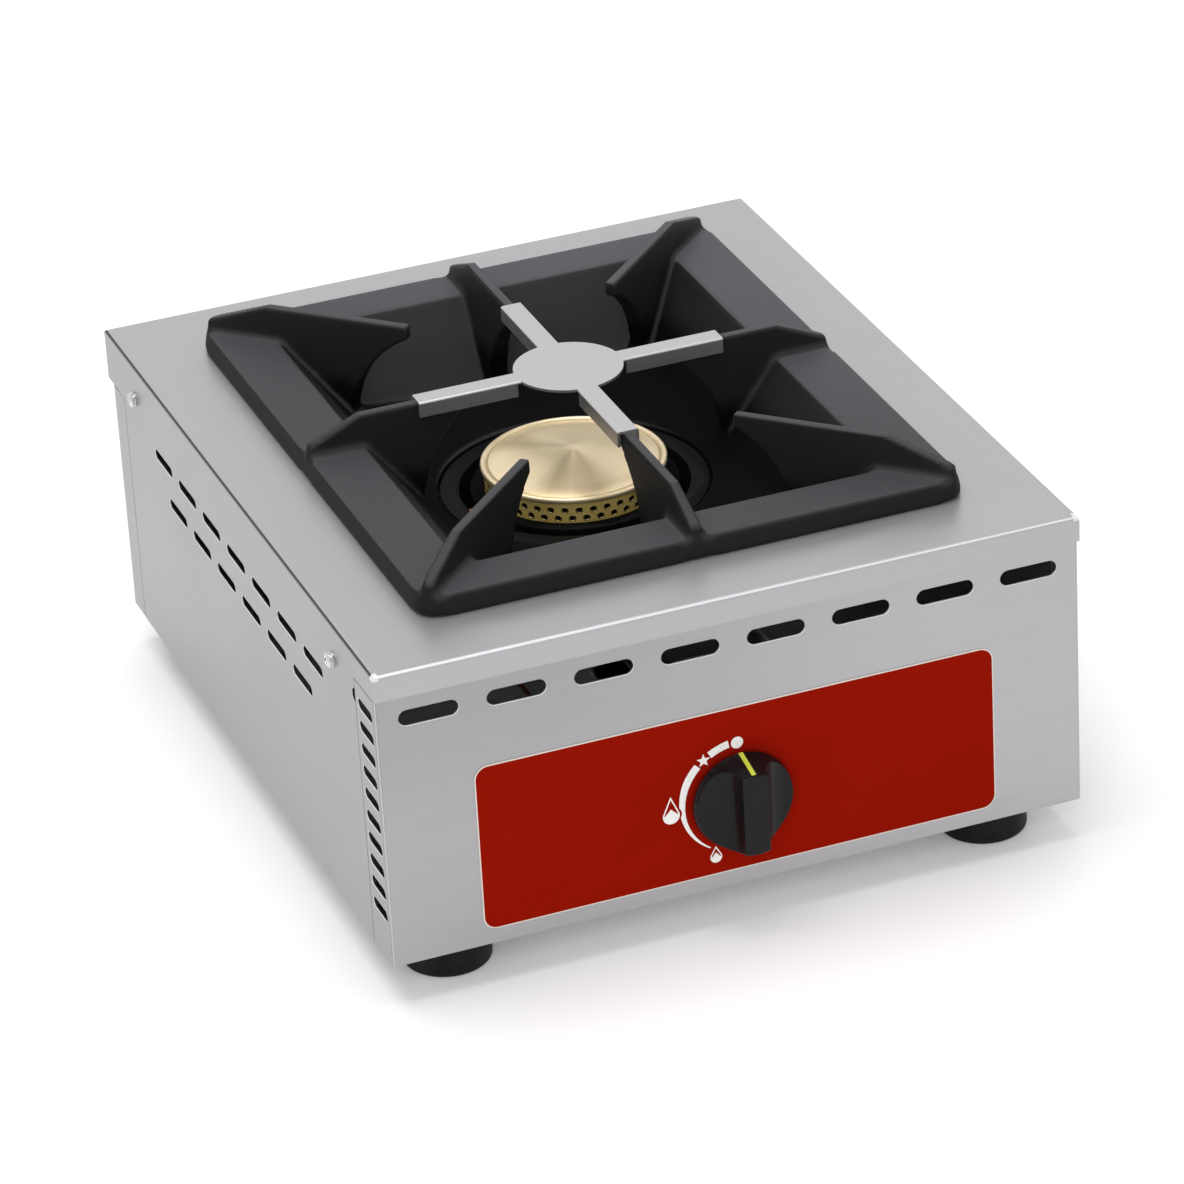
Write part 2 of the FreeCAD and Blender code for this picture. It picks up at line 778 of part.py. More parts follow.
def make_feet():
    """Four feet with a screw and a nut each."""
    outside = S.foot_diameter / 2
    bore = S.foot_screw_radius + S.hole_clearance
    profile = [
        (bore, S.foot_recess_depth), (S.foot_recess_radius, S.foot_recess_depth),
        (S.foot_recess_radius, ZERO), (outside, ZERO), (outside, S.foot_height), (bore, S.foot_height),
    ]
    screws = []
    nuts = []
    for row_name, y in (("front", -foot_y), ("rear", foot_y)):
        for side_name, x in (("left", -foot_x), ("right", foot_x)):
            body = turned(f"foot_{row_name}_{side_name}", profile, x=x, y=y)
            add_fillet(body, lambda edge: level_edge(edge, ZERO) and
                       edge.BoundBox.XLength > 2 * S.foot_recess_radius.value + 1, S.foot_round)
            nut_top = base_top + S.foot_nut_height
            screws.append(screw("z", S.foot_recess_depth - S.foot_screw_head_height, S.foot_recess_depth,
                                nut_top + S.screw_tail, x=x, y=y,
                                radius=S.foot_screw_radius, head_radius=S.foot_screw_head))
            nuts.append(ring(S.foot_nut_radius, S.foot_screw_radius, base_top, nut_top, "z", x=x, y=y,
                             six_sided=True))
    keep(group(*screws), "foot_screws")
    keep(group(*nuts), "foot_nuts")


# Burner carriers

def make_rail(label, place_y, toward):
    """A cross rail: web, top flange and an end tab against each side of the cover."""
    inner = (place_y - S.rail_width / 2) * toward
    outer = (place_y + S.rail_width / 2) * toward
    web_back = inner + S.rail_sheet * toward
    bottom = cover_under - S.rail_height

    def across(first, second):
        return sorted((first, second), key=lambda size: size.value)

    web = block(-side_inner, side_inner, *across(inner, web_back), bottom, cover_under)
    flange = block(-side_inner, side_inner, *across(inner, outer), cover_under - S.rail_sheet, cover_under)
    tabs = [
        block(near, far, *across(inner, outer), bottom, cover_under)
        for near, far in ((-side_inner, S.rail_sheet - side_inner), (side_inner - S.rail_sheet, side_inner))
    ]
    side_holes = rod(screw_hole, -half_width, half_width, "x", y=place_y * toward, z=rail_screw_level)
    strap_holes = [
        rod(screw_hole, *across(inner - MARGIN * toward, web_back + MARGIN * toward), "y",
            x=x, z=cover_top - S.strap_screw_drop)
        for x in (-S.strap_screw_spread, S.strap_screw_spread)
    ]
    keep(cut(fuse(web, flange, *tabs), side_holes, *strap_holes), label)


def make_carriers():
    """Both rails, the hanger strap under the burner, and their screws and nuts."""
    make_rail("rail_front", rail_front_place, -1)
    make_rail("rail_rear", rail_rear_place, 1)
    front = S.rail_width / 2 - rail_front_place
    rear = rail_rear_place - S.rail_width / 2
    half = S.strap_width / 2
    leg_top = cover_top - S.strap_leg_drop
    strap = fuse(
        block(-half, half, front, rear, strap_under, strap_top),
        block(-half, half, front, front + S.strap_sheet, strap_under, leg_top),
        block(-half, half, rear - S.strap_sheet, rear, strap_under, leg_top),
    )
    screw_level = cover_top - S.strap_screw_drop
    spread = (-S.strap_screw_spread, S.strap_screw_spread)
    leg_holes = [rod(screw_hole, front - MARGIN, rear + MARGIN, "y", x=x, z=screw_level) for x in spread]
    neck_hole = rod(S.neck_radius + S.neck_gap, strap_under - MARGIN, strap_top + MARGIN, "z")
    keep(cut(strap, neck_hole, *leg_holes), "burner_bracket")
    ends = (
        (front + S.strap_sheet, S.screw_head_height, front - S.rail_sheet - S.screw_tail),
        (rear - S.strap_sheet, -S.screw_head_height, rear + S.rail_sheet + S.screw_tail),
    )
    keep(group(*[
        screw("y", seat + head, seat, tail, x=x, z=screw_level)
        for seat, head, tail in ends for x in spread
    ]), "bracket_screws")
    cover_screws = []
    cover_nuts = []
    tab_inner = side_inner - S.rail_sheet
    nut_inner = tab_inner - S.screw_nut_height
    for y in (-rail_front_place, rail_rear_place):
        for side in (-1, 1):
            cover_screws.append(screw("x", (half_width + S.cover_head_height) * side, half_width * side,
                                      (nut_inner - S.screw_tail) * side, y=y, z=rail_screw_level))
            ends = sorted((nut_inner * side, tab_inner * side), key=lambda size: size.value)
            cover_nuts.append(ring(S.screw_nut_radius, S.screw_radius, *ends, "x", y=y, z=rail_screw_level,
                                   six_sided=True))
    keep(group(*cover_screws), "cover_screws")
    keep(group(*cover_nuts), "cover_nuts")
    keep(group(*[
        screw("y", panel_rear + S.screw_head_height, panel_rear, rear_inner - S.sheet_wall - S.screw_tail,
              x=x, z=rear_screw_level)
        for x in (-rear_screw_spread, ZERO, rear_screw_spread)
    ]), "panel_screws")


# Burner

bowl_floor = strap_top + S.bowl_sheet
burner_rim = cover_top - S.burner_rim_drop
crown_bottom = burner_rim - S.crown_seat_depth
crown_top = crown_bottom + S.crown_height
cap_rim = crown_top + S.cap_edge
crown_inner = S.crown_radius - S.crown_wall
cap_radius = S.crown_radius + S.cap_overhang
rim_radius = S.crown_radius + S.burner_rim_width
gutter_radius = rim_radius + S.gutter_width
probe_reach = rim_radius + S.probe_gap + S.probe_radius
mixer_bore = S.mixer_radius - S.mixer_wall
mixer_end = S.mixer_radius + S.mixer_end_flange
mixer_mouth = -S.mixer_length
injector_seat = mixer_mouth - S.mixer_end_wall
holder_front = injector_seat - S.injector_hex_length
holder_end = holder_front - S.holder_length


def make_bowl():
    """The enamelled bowl: flat flange, wall and floor, with a hole for the flame probe."""
    flange_top = cover_top - S.bowl_flange_drop
    flange_under = flange_top - S.bowl_sheet
    flange_radius = S.floor_hole_radius - S.bowl_ring_gap
    wall_out = gutter_radius + S.bowl_sheet
    inner = S.neck_radius + S.neck_gap
    body = turned("drip_bowl", [
        (inner, strap_top), (wall_out, strap_top), (wall_out, flange_under),
        (flange_radius, flange_under), (flange_radius, flange_top),
        (gutter_radius, flange_top), (gutter_radius, bowl_floor), (inner, bowl_floor),
    ])
    hole = new_sketch(body, "XY_Plane", bowl_floor + MARGIN)
    draw_circle(hole, -probe_reach, ZERO, S.probe_radius + S.hole_clearance)
    add_pocket(body, hole, MARGIN * 2)


def make_burner_body():
    """The cast cup with its neck and the level mixing tube with two air windows."""
    seat_radius = S.crown_radius + S.crown_gap
    rim_bottom = burner_rim - S.burner_rim_height
    neck_bottom = knob_level - S.mixer_radius - S.burner_wall
    neck_bore = S.neck_radius - S.burner_wall
    cup = turned("burner_cup", [
        (ZERO, neck_bottom), (S.neck_radius, neck_bottom), (S.neck_radius, bowl_floor),
        (S.burner_foot_radius, bowl_floor), (rim_radius, rim_bottom),
        (rim_radius, burner_rim), (seat_radius, burner_rim), (seat_radius, crown_bottom),
        (crown_inner - S.crown_gap, crown_bottom), (crown_inner - S.crown_gap, rim_bottom),
        (neck_bore, bowl_floor + S.burner_wall), (neck_bore, knob_level),
        (ZERO, knob_level),
    ])
    del nodes["burner_cup"]
    tube = rod(S.mixer_radius, mixer_mouth, ZERO, "y", z=knob_level)
    end_wall = rod(mixer_end, injector_seat, mixer_mouth, "y", z=knob_level)
    bore = rod(mixer_bore, mixer_mouth, ZERO, "y", z=knob_level)
    jet_hole = rod(S.injector_radius + S.hole_clearance, injector_seat - MARGIN, mixer_mouth + MARGIN, "y",
                   z=knob_level)
    window_start = mixer_mouth + S.air_window_setback
    windows = block(-mixer_end, mixer_end,
                    window_start, window_start + S.air_window_length,
                    knob_level - S.air_window_height / 2, knob_level + S.air_window_height / 2)
    keep(cut(fuse(cup, tube, end_wall), bore, jet_hole, windows), "burner_body")
    nut_foot = strap_under - S.ring_nut_height
    keep(ring(S.neck_radius + S.ring_nut_wall, S.neck_radius, nut_foot, strap_under, "z", six_sided=True),
         "burner_nut")


def make_air_shutter():
    """The sleeve that opens and closes the air windows, with its lock screw."""
    inner = S.mixer_radius + S.shutter_gap
    outer = inner + S.shutter_wall
    start = mixer_mouth + S.air_window_setback + S.shutter_open
    end = start + S.shutter_length
    middle = start + S.shutter_length / 2
    sleeve = ring(outer, inner, start, end, "y", z=knob_level)
    hole = rod(S.shutter_screw_radius, knob_level, knob_level + outer + MARGIN, "z", y=middle)
    keep(cut(sleeve, hole), "air_shutter")
    top = knob_level + outer + S.shutter_screw_height
    head = rod(S.shutter_screw_radius * 2, top - S.shutter_screw_height / 2, top, "z", y=middle)
    shank = rod(S.shutter_screw_radius, knob_level + inner, top, "z", y=middle)
    keep(fuse(head, shank), "shutter_screw")


def make_injector():
    """The gas jet in the end wall of the mixing tube, and the holder that feeds it."""
    jet = fuse(
        hexagon(S.injector_hex_radius, holder_front, injector_seat, "y", z=knob_level),
        rod(S.injector_radius, injector_seat, mixer_mouth, "y", z=knob_level),
        taper(S.injector_radius, S.injector_nose_radius, mixer_mouth,
              mixer_mouth + S.injector_nose_length, "y", z=knob_level),
    )
    bore = rod(S.jet_radius, holder_front, mixer_mouth + S.injector_nose_length, "y", z=knob_level)
    keep(cut(jet, bore), "injector")
    keep(ring(S.holder_radius, S.gas_bore_radius, holder_end, holder_front, "y", z=knob_level),
         "injector_holder")


def make_crown():
    """The brass ring with two staggered rows of flame ports."""
    wall = ring(S.crown_radius, crown_inner, crown_bottom, crown_top, "z")
    count = int(S.port_count.value)
    upper = crown_top - S.port_upper_drop
    start = crown_inner - MARGIN
    ports = []
    for level, shift in ((upper, 0), (upper - S.port_row_step, 0.5)):
        for index in range(count):
            angle = 360 * (index + shift) / count
            port = rod(S.port_radius, start, S.crown_radius + MARGIN, "y")
            place(port, start * -math.sin(math.radians(angle)), start * math.cos(math.radians(angle)), level,
                  Rotation(Vector(0, 0, 1), angle) * ALONG["y"])
            ports.append(port)
    drilled = doc.addObject("Part::Cut", "drilled")
    drilled.Base = wall
    drilled.Tool = group(*ports)
    keep(drilled, "burner_crown")


def make_cap():
    """The domed brass cap with its raised lip and locating spigot."""
    lip_inner = cap_radius - S.cap_lip
    spigot = crown_inner - S.crown_gap
    spigot_inner = spigot - S.cap_spigot_wall
    apex = cap_rim + S.cap_rise
    dome_edge = lip_inner - S.cap_groove
    turned("burner_cap", [
        (ZERO, apex), (dome_edge, cap_rim - S.cap_groove), (lip_inner, cap_rim),
        (cap_radius - S.cap_groove, cap_rim), (cap_radius, cap_rim - S.cap_groove),
        (cap_radius, crown_top), (spigot, crown_top), (spigot, crown_top - S.cap_spigot_length),
        (spigot_inner, crown_top - S.cap_spigot_length), (spigot_inner, crown_top),
        (ZERO, apex - S.cap_thickness),
    ])


# Gas tap and knob

bonnet_front = S.bonnet_stand - front_inner
bonnet_back = bonnet_front + S.bonnet_length
flange_front = bonnet_front + S.bonnet_wall
flange_back = flange_front + S.spindle_flange_height
valve_back = bonnet_back + S.valve_length
outlet_end = valve_back + S.outlet_length
port_y = bonnet_back + S.port_offset
knob_back = -(panel_front + S.label_thickness + knob_gap)
knob_front = knob_back - S.knob_height
valve_side = S.valve_width / 2
valve_under = knob_level - S.valve_height / 2


def make_tap_housing():
    """Body, front cover and shelf of the gas tap."""
    level = {"z": knob_level}
    valve_top = knob_level + S.valve_height / 2
    housing = fuse(
        block(-valve_side, valve_side, bonnet_back, valve_back, valve_under, valve_top),
        rod(S.outlet_radius, valve_back, outlet_end, "y", **level),
        rod(S.inlet_boss_radius, ZERO, valve_side + S.inlet_boss_length, "x", y=port_y, **level),
        rod(S.magnet_radius + S.magnet_boss_wall, -valve_side - S.magnet_boss_length, ZERO, "x",
            y=port_y, **level),
    )
    plug_end = bonnet_back + S.plug_length
    screw_places = (-S.bonnet_screw_offset, S.bonnet_screw_offset)
    shelf_places = (port_y - S.valve_screw_depth, port_y + S.valve_screw_depth)
    hollows = [
        taper(S.plug_radius + S.running_fit, S.plug_end_radius + S.running_fit, bonnet_back, plug_end, "y",
              **level),
        rod(S.gas_bore_radius, plug_end - MARGIN, outlet_end + MARGIN, "y", **level),
        rod(S.gas_bore_radius, ZERO, valve_side + S.inlet_boss_length + MARGIN, "x", y=port_y, **level),
        rod(S.magnet_radius, -valve_side - S.magnet_boss_length - MARGIN,
            -valve_side - S.magnet_boss_length / 2, "x", y=port_y, **level),
    ]
    hollows += [rod(S.screw_radius, bonnet_back - MARGIN, bonnet_back + S.valve_screw_depth, "y",
                    x=x, **level) for x in screw_places]
    hollows += [rod(S.screw_radius, valve_under - MARGIN, valve_under + S.screw_tail, "z", y=y)
                for y in shelf_places]
    keep(cut(housing, *hollows), "valve_body")
    bonnet = block(-valve_side, valve_side, bonnet_front, bonnet_back, valve_under, valve_top)
    keep(cut(
        bonnet,
        rod(S.chamber_radius, flange_front, bonnet_back + MARGIN, "y", **level),
        rod(S.spindle_radius + S.running_fit, bonnet_front - MARGIN, bonnet_back, "y", **level),
        *[rod(screw_hole, bonnet_front - MARGIN, bonnet_back + MARGIN, "y", x=x, **level)
          for x in screw_places],
    ), "valve_bonnet")
    keep(group(*[
        screw("y", bonnet_front - S.screw_head_height, bonnet_front, bonnet_back + S.valve_screw_depth, x=x,
              **level) for x in screw_places
    ]), "bonnet_screws")
    half = S.bracket_width / 2
    shelf_top = valve_under
    shelf_under = shelf_top - S.bracket_sheet
    plate_back = S.bracket_sheet - front_inner
    shelf = fuse(
        block(-half, half, -front_inner, plate_back, shelf_under, shelf_top + S.bracket_rise),
        block(-half, half, -front_inner, valve_back, shelf_under, shelf_top),
    )
    spindle_hole = rod(S.spindle_radius + S.spindle_hole_gap, -front_inner - MARGIN, plate_back + MARGIN, "y",
                       **level)
    keep(cut(shelf, spindle_hole, *[rod(screw_hole, shelf_under - MARGIN, shelf_top + MARGIN, "z", y=y)
                                    for y in shelf_places]), "valve_bracket")
    keep(group(*[
        screw("z", shelf_under - S.screw_head_height, shelf_under, valve_under + S.screw_tail, y=y)
        for y in shelf_places
    ]), "valve_screws")


def make_tap_inside():
    """Turning plug, spindle with its tongue, and the return spring."""
    level = {"z": knob_level}
    plug = taper(S.plug_radius, S.plug_end_radius, bonnet_back, bonnet_back + S.plug_length, "y", **level)
    slot_half = S.tongue_thickness / 2 + S.tongue_gap
    slot_reach = S.tongue_width / 2 + S.tongue_gap
    slot_depth = S.tongue_entry + S.knob_travel + S.tongue_end_gap
    slot = block(-slot_half, slot_half, bonnet_back - MARGIN, bonnet_back + slot_depth,
                 knob_level - slot_reach, knob_level + slot_reach)
    gas_way = rod(S.gas_bore_radius, port_y, bonnet_back + S.plug_length + MARGIN, "y", **level)
    gas_port = rod(S.gas_bore_radius, -S.plug_radius, ZERO, "x", y=port_y, **level)
    keep(cut(plug, slot, gas_way, gas_port), "valve_plug")
    spindle_front = knob_back - S.knob_bore_depth + S.hole_clearance
    spindle = fuse(
        rod(S.spindle_radius, spindle_front, flange_back, "y", **level),
        rod(S.chamber_radius - S.spindle_flange_gap, flange_front + S.hole_clearance, flange_back, "y",
            **level),
        block(-S.tongue_thickness / 2, S.tongue_thickness / 2, flange_front, bonnet_back + S.tongue_entry,
              knob_level - S.tongue_width / 2, knob_level + S.tongue_width / 2),
    )
    keep(spindle, "valve_spindle")
    spring_outer = S.chamber_radius - S.spring_gap
    keep(ring(spring_outer, spring_outer - S.spring_wall, flange_back, bonnet_back, "y", **level),
         "spindle_spring")


def make_knob():
    """Tapered round knob, scooped on both sides to leave a grip bar, and the pointer line on top."""
    level = {"z": knob_level}
    base = S.knob_diameter / 2
    face = S.knob_face_diameter / 2
    head = taper(base, face, knob_back, knob_front, "y", **level)
    inner_head = taper(base - S.pointer_depth, face - S.pointer_depth, knob_back, knob_front, "y", **level)
    for cone in (head, inner_head):
        cone.Placement.Rotation = Rotation(Vector(1, 0, 0), 90)
        bind(cone, "Height", S.knob_height)
    # Each scoop leaves the skirt below it and meets the front face at the side of the grip bar.
    scoop_radius = S.knob_height - S.skirt_height
    scoop_x = S.grip_width / 2 + scoop_radius
    scoops = [rod(scoop_radius, knob_level - S.knob_diameter, knob_level + S.knob_diameter, "z",
                  x=x, y=knob_front) for x in (-scoop_x, scoop_x)]
    bore = rod(S.spindle_radius + S.running_fit, knob_back - S.knob_bore_depth, knob_back + MARGIN, "y",
               **level)
    stripe_half = S.pointer_width / 2
    stripe = block(-stripe_half, stripe_half, knob_front + S.pointer_end_gap, knob_back,
                   knob_level + face / 2, knob_level + S.knob_diameter)
    pointer = keep(cut(common(head, stripe), inner_head), "knob_pointer")
    keep(cut(head, *scoops, bore, pointer), "knob")


def make_label():
    """The thin plate behind the knob."""
    body = new_body("control_label")
    sketch = new_sketch(body, "XZ_Plane", panel_front)
    half = S.label_width / 2
    bottom = casing_bottom + S.label_rise
    draw_rectangle(sketch, -half, half, bottom, bottom + S.label_height)
    add_pad(body, sketch, S.label_thickness)
    add_fillet(body, lambda edge: abs(edge.Vertexes[0].Y - edge.Vertexes[-1].Y) > 1e-4, S.label_corner)
    hole = new_sketch(body, "XZ_Plane", panel_front + MARGIN)
    draw_circle(hole, ZERO, knob_level, S.spindle_radius + S.spindle_hole_gap)
    add_pocket(body, hole, MARGIN * 2)


# Gas pipes and flame safety

def bent_tube(label, points, radius, bend, bore=None):
    """A pipe along straight runs joined by arcs of one radius."""
    edges = []
    last = points[0]
    for before, corner, after in zip(points, points[1:], points[2:]):
        into = (corner - before).normalize()
        out = (after - corner).normalize()
        start = corner - into * bend
        end = corner + out * bend
        middle = corner + (out - into) * (bend * (1 - math.sqrt(0.5)))
        if (start - last).Length > 1e-6:
            edges.append(Part.LineSegment(last, start).toShape())
        edges.append(Part.Arc(start, middle, end).toShape())
        last = end
    edges.append(Part.LineSegment(last, points[-1]).toShape())
    path = Part.Wire(edges)
    heading = edges[0].tangentAt(edges[0].FirstParameter)

    def swept(size):
        circle = Part.Wire(Part.makeCircle(size, points[0], heading))
        return path.makePipeShell([circle], True, False)

    shape = swept(radius)
    if bore:
        shape = shape.cut(swept(bore))
    item = doc.addObject("Part::Feature", label)
    item.Shape = shape
    return keep(item, label)


def make_feed():
    """The straight pipe from the tap to the injector holder, with a nut at each end."""
    level = {"z": knob_level}
    keep(ring(S.feed_pipe_radius, S.feed_pipe_radius - S.pipe_wall, outlet_end, holder_end, "y", **level),
         "feed_pipe")
    keep(group(
        ring(S.feed_nut_radius, S.feed_pipe_radius, outlet_end, outlet_end + S.feed_nut_length, "y",
             six_sided=True, **level),
        ring(S.feed_nut_radius, S.feed_pipe_radius, holder_end - S.feed_nut_length, holder_end, "y",
             six_sided=True, **level),
    ), "feed_nuts")


def make_supply():
    """The rear connection and the pipe from it to the tap."""
    level = {"x": S.inlet_x, "z": knob_level}
    boss_end = valve_side + S.inlet_boss_length
    tail_end = rear_inner - S.inlet_tail
    bent_tube("supply_pipe", [
        Vector(S.inlet_x.value, tail_end.value, knob_level.value),
        Vector(S.inlet_x.value, port_y.value, knob_level.value),
        Vector(boss_end.value, port_y.value, knob_level.value),
    ], S.supply_pipe_radius.value, S.supply_bend.value, (S.supply_pipe_radius - S.pipe_wall).value)
    keep(group(
        ring(S.supply_nut_radius, S.supply_pipe_radius, tail_end - S.supply_nut_length, tail_end, "y",
             six_sided=True, **level),
        ring(S.supply_nut_radius, S.supply_pipe_radius, boss_end, boss_end + S.supply_nut_length, "x",
             y=port_y, z=knob_level, six_sided=True),
    ), "supply_nuts")
    hex_end = panel_rear + S.inlet_hex_length
    thread_end = hex_end + S.inlet_thread_length
    # The nose ends as far behind the cover as the knob stands in front of it.
    nose_end = -knob_front
    fitting = fuse(
        rod(S.inlet_thread_radius, tail_end, thread_end, "y", **level),
        hexagon(S.inlet_hex_radius, panel_rear, hex_end, "y", **level),
        rod(S.inlet_nose_radius, hex_end, nose_end, "y", **level),
    )
    bore = rod(S.inlet_bore_radius, tail_end - MARGIN, nose_end + MARGIN, "y", **level)
    keep(cut(fitting, bore), "inlet_fitting")
    keep(ring(S.inlet_hex_radius, S.inlet_thread_radius, rear_inner - S.locknut_length, rear_inner, "y",
              six_sided=True, **level), "inlet_locknut")


def make_flame_safety():
    """Magnet in the tap, the probe beside the burner and the lead between them."""
    level = {"y": port_y, "z": knob_level}
    magnet_in = -valve_side - S.magnet_boss_length / 2
    nut_start = -S.magnet_reach - S.lead_nut_length
    keep(rod(S.magnet_radius, -S.magnet_reach, magnet_in, "x", **level), "magnet_unit")
    keep(hexagon(S.lead_nut_radius, nut_start, -S.magnet_reach, "x", **level), "thermocouple_nut")
    collar_top = strap_top
    collar_under = collar_top - S.probe_collar_height
    tip = cover_top - S.probe_tip_drop
    keep(fuse(
        rod(S.probe_radius, collar_under, tip, "z", x=-probe_reach),
        rod(S.probe_collar_radius, collar_under, collar_top, "z", x=-probe_reach),
    ), "thermocouple")
    bent_tube("thermocouple_lead", [
        Vector(nut_start.value, port_y.value, knob_level.value),
        Vector(-probe_reach.value, port_y.value, knob_level.value),
        Vector(-probe_reach.value, 0, knob_level.value),
        Vector(-probe_reach.value, 0, collar_under.value),
    ], S.lead_radius.value, S.lead_bend.value)


# Cast grate and small-pot cross

def rounded_wire(half_x, half_y, radius, z):
    """A level rectangle with round corners, as one closed wire."""
    edges = []
    corners = ((1, 1, 0), (-1, 1, 90), (-1, -1, 180), (1, -1, 270))
    for sign_x, sign_y, start in corners:
        centre = Vector(sign_x * (half_x - radius), sign_y * (half_y - radius), z)
        edges.append(Part.makeCircle(radius, centre, Vector(0, 0, 1), start, start + 90))
    sides = [
        Part.makeLine(edge.valueAt(edge.LastParameter), after.valueAt(after.FirstParameter))
        for edge, after in zip(edges, edges[1:] + edges[:1])
    ]
    return Part.Wire([piece for pair in zip(edges, sides) for piece in pair])


def make_grate():
    """One casting: outer wall and flat band, sloped bowl with a round hole, and eight fingers."""
    base = cover_top.value
    band = base + S.band_height.value
    half_x, half_y = grate_width.value / 2, grate_depth.value / 2
    draft = S.grate_draft.value
    wall = S.cast_wall.value
    slope = math.tan(math.radians(S.well_slope.value))
    floor_rise = math.tan(math.radians(S.floor_slope.value))
    floor = base - S.floor_drop.value
    hole = S.floor_hole_radius.value
    deep = 2 * S.floor_drop.value
    far = half_x + half_y

    def bowl(grow, top, floor_level, hole_bottom):
        """The space inside the sloped walls, above the floor cone."""
        corner = S.well_corner.value + grow
        top_x, top_y = well_width.value / 2 + grow, well_depth.value / 2 + grow
        inset = deep / slope
        rise = top - band
        upper = rounded_wire(top_x + rise / slope, top_y + rise / slope, corner, top)
        lower = rounded_wire(top_x - inset, top_y - inset, corner, band - deep)
        sides = Part.makeLoft([upper, lower], True, True)
        outline = [
            Vector(0, 0, hole_bottom), Vector(hole, 0, hole_bottom), Vector(hole, 0, floor_level),
            Vector(far, 0, floor_level + (far - hole) * floor_rise), Vector(far, 0, far + base),
            Vector(0, 0, far + base), Vector(0, 0, hole_bottom),
        ]
        above = Part.Face(Part.makePolygon(outline)).revolve(Vector(), Vector(0, 0, 1), 360)
        return sides.common(above)

    thick = wall / math.sin(math.radians(S.well_slope.value))
    floor_thick = wall / math.cos(math.radians(S.floor_slope.value))
    block_shape = Part.makeLoft([
        rounded_wire(half_x, half_y, S.grate_corner.value, base),
        rounded_wire(half_x - draft, half_y - draft, S.grate_corner.value - draft, band),
    ], True, True)
    bowl_outside = bowl(thick, band, floor - floor_thick, floor - floor_thick)
    under = Part.makeLoft([
        rounded_wire(half_x - wall, half_y - wall, S.grate_corner.value - wall, base),
        rounded_wire(half_x - wall - draft, half_y - wall - draft, S.grate_corner.value - wall,
                     band - S.band_thickness.value),
    ], True, True)
    filled = block_shape.fuse(bowl_outside)
    shell = block_shape.cut(under).fuse(bowl_outside)
    shell = shell.cut(bowl(0, band + draft, floor, floor - deep))
    shell = shell.cut(Part.makeCylinder(hole, deep + band - floor, Vector(0, 0, floor - deep)))

    top = base + S.finger_top.value
    end_height = S.finger_end_height.value
    end_inset = draft * end_height / S.band_height.value
    half_top = S.finger_width.value / 2
    half_foot = half_top + (top - floor + deep) * math.tan(math.radians(S.finger_draft.value))
    upper_space = Part.makeBox(2 * half_x, 2 * half_y, far, Vector(-half_x, -half_y, base))
    envelope = filled.fuse(upper_space)

    def finger(length, peak, run, drop, hollow):
        """One finger lying along X from its outer end at zero, its underside an arc from tip to root."""
        tip_under = top - S.finger_tip_depth.value
        root = Vector(length - run, 0, tip_under - drop)
        low = floor - deep
        chord = math.hypot(run, drop)
        middle = Vector(length - run / 2 - hollow * drop / chord, 0,
                        tip_under - drop / 2 + hollow * run / chord)
        points = [Vector(x, 0, z) for x, z in (
            (0, low), (0, base), (end_inset, base + end_height),
            (peak, top), (length, top), (length, tip_under),
        )]
        arc = Part.Arc(points[-1], middle, root)
        lines = [Part.makeLine(first, second) for first, second in zip(points, points[1:])]
        tail = [root, Vector(root.x, 0, low), points[0]]
        lines += [arc.toShape()] + [Part.makeLine(first, second) for first, second in zip(tail, tail[1:])]
        side = Part.Face(Part.Wire(lines)).extrude(Vector(0, 2 * half_foot, 0))
        side.translate(Vector(0, -half_foot, 0))
        section = [(half_top, top), (-half_top, top), (-half_foot, low), (half_foot, low), (half_top, top)]
        wedge = Part.Face(Part.makePolygon([Vector(0, y, z) for y, z in section]))
        return side.common(wedge.extrude(Vector(length, 0, 0)))

    fingers = []
    peak = S.finger_peak_inset.value
    side_arc = [S.side_finger_run.value, S.side_finger_drop.value, S.side_finger_hollow.value]
    long_arc = [S.long_finger_run.value, S.long_finger_drop.value, S.long_finger_hollow.value]
    side = (half_x, S.side_tip_radius.value, side_arc)
    end = (half_y, S.end_tip_radius.value, long_arc)
    for (reach, tip, arc), turn in ((side, 0), (end, 90), (side, 180), (end, 270)):
        shape = finger(reach - tip, peak, *arc)
        shape.Placement = Placement(Vector(-reach, 0, 0), Rotation())
        shape.rotate(Vector(), Vector(0, 0, 1), turn)
        fingers.append(shape)
    corner_inset = S.grate_corner.value * (1 - math.sqrt(0.5))
    diagonal = math.sqrt(2)
    for sign_x in (-1, 1):
        for sign_y in (-1, 1):
            shape = finger((S.corner_finger_length.value - corner_inset) * diagonal,
                           (peak - corner_inset) * diagonal, *long_arc)
            heading = math.degrees(math.atan2(-sign_y, -sign_x))
            shape.rotate(Vector(), Vector(0, 0, 1), heading)
            shape.translate(Vector(sign_x * (half_x - corner_inset), sign_y * (half_y - corner_inset), 0))
            fingers.append(shape)
    casting = shell.multiFuse([shape.common(envelope) for shape in fingers]).removeSplitter()
    item = doc.addObject("Part::Feature", "grate")
    item.Shape = casting.Solids[0]
    keep(item, "grate")


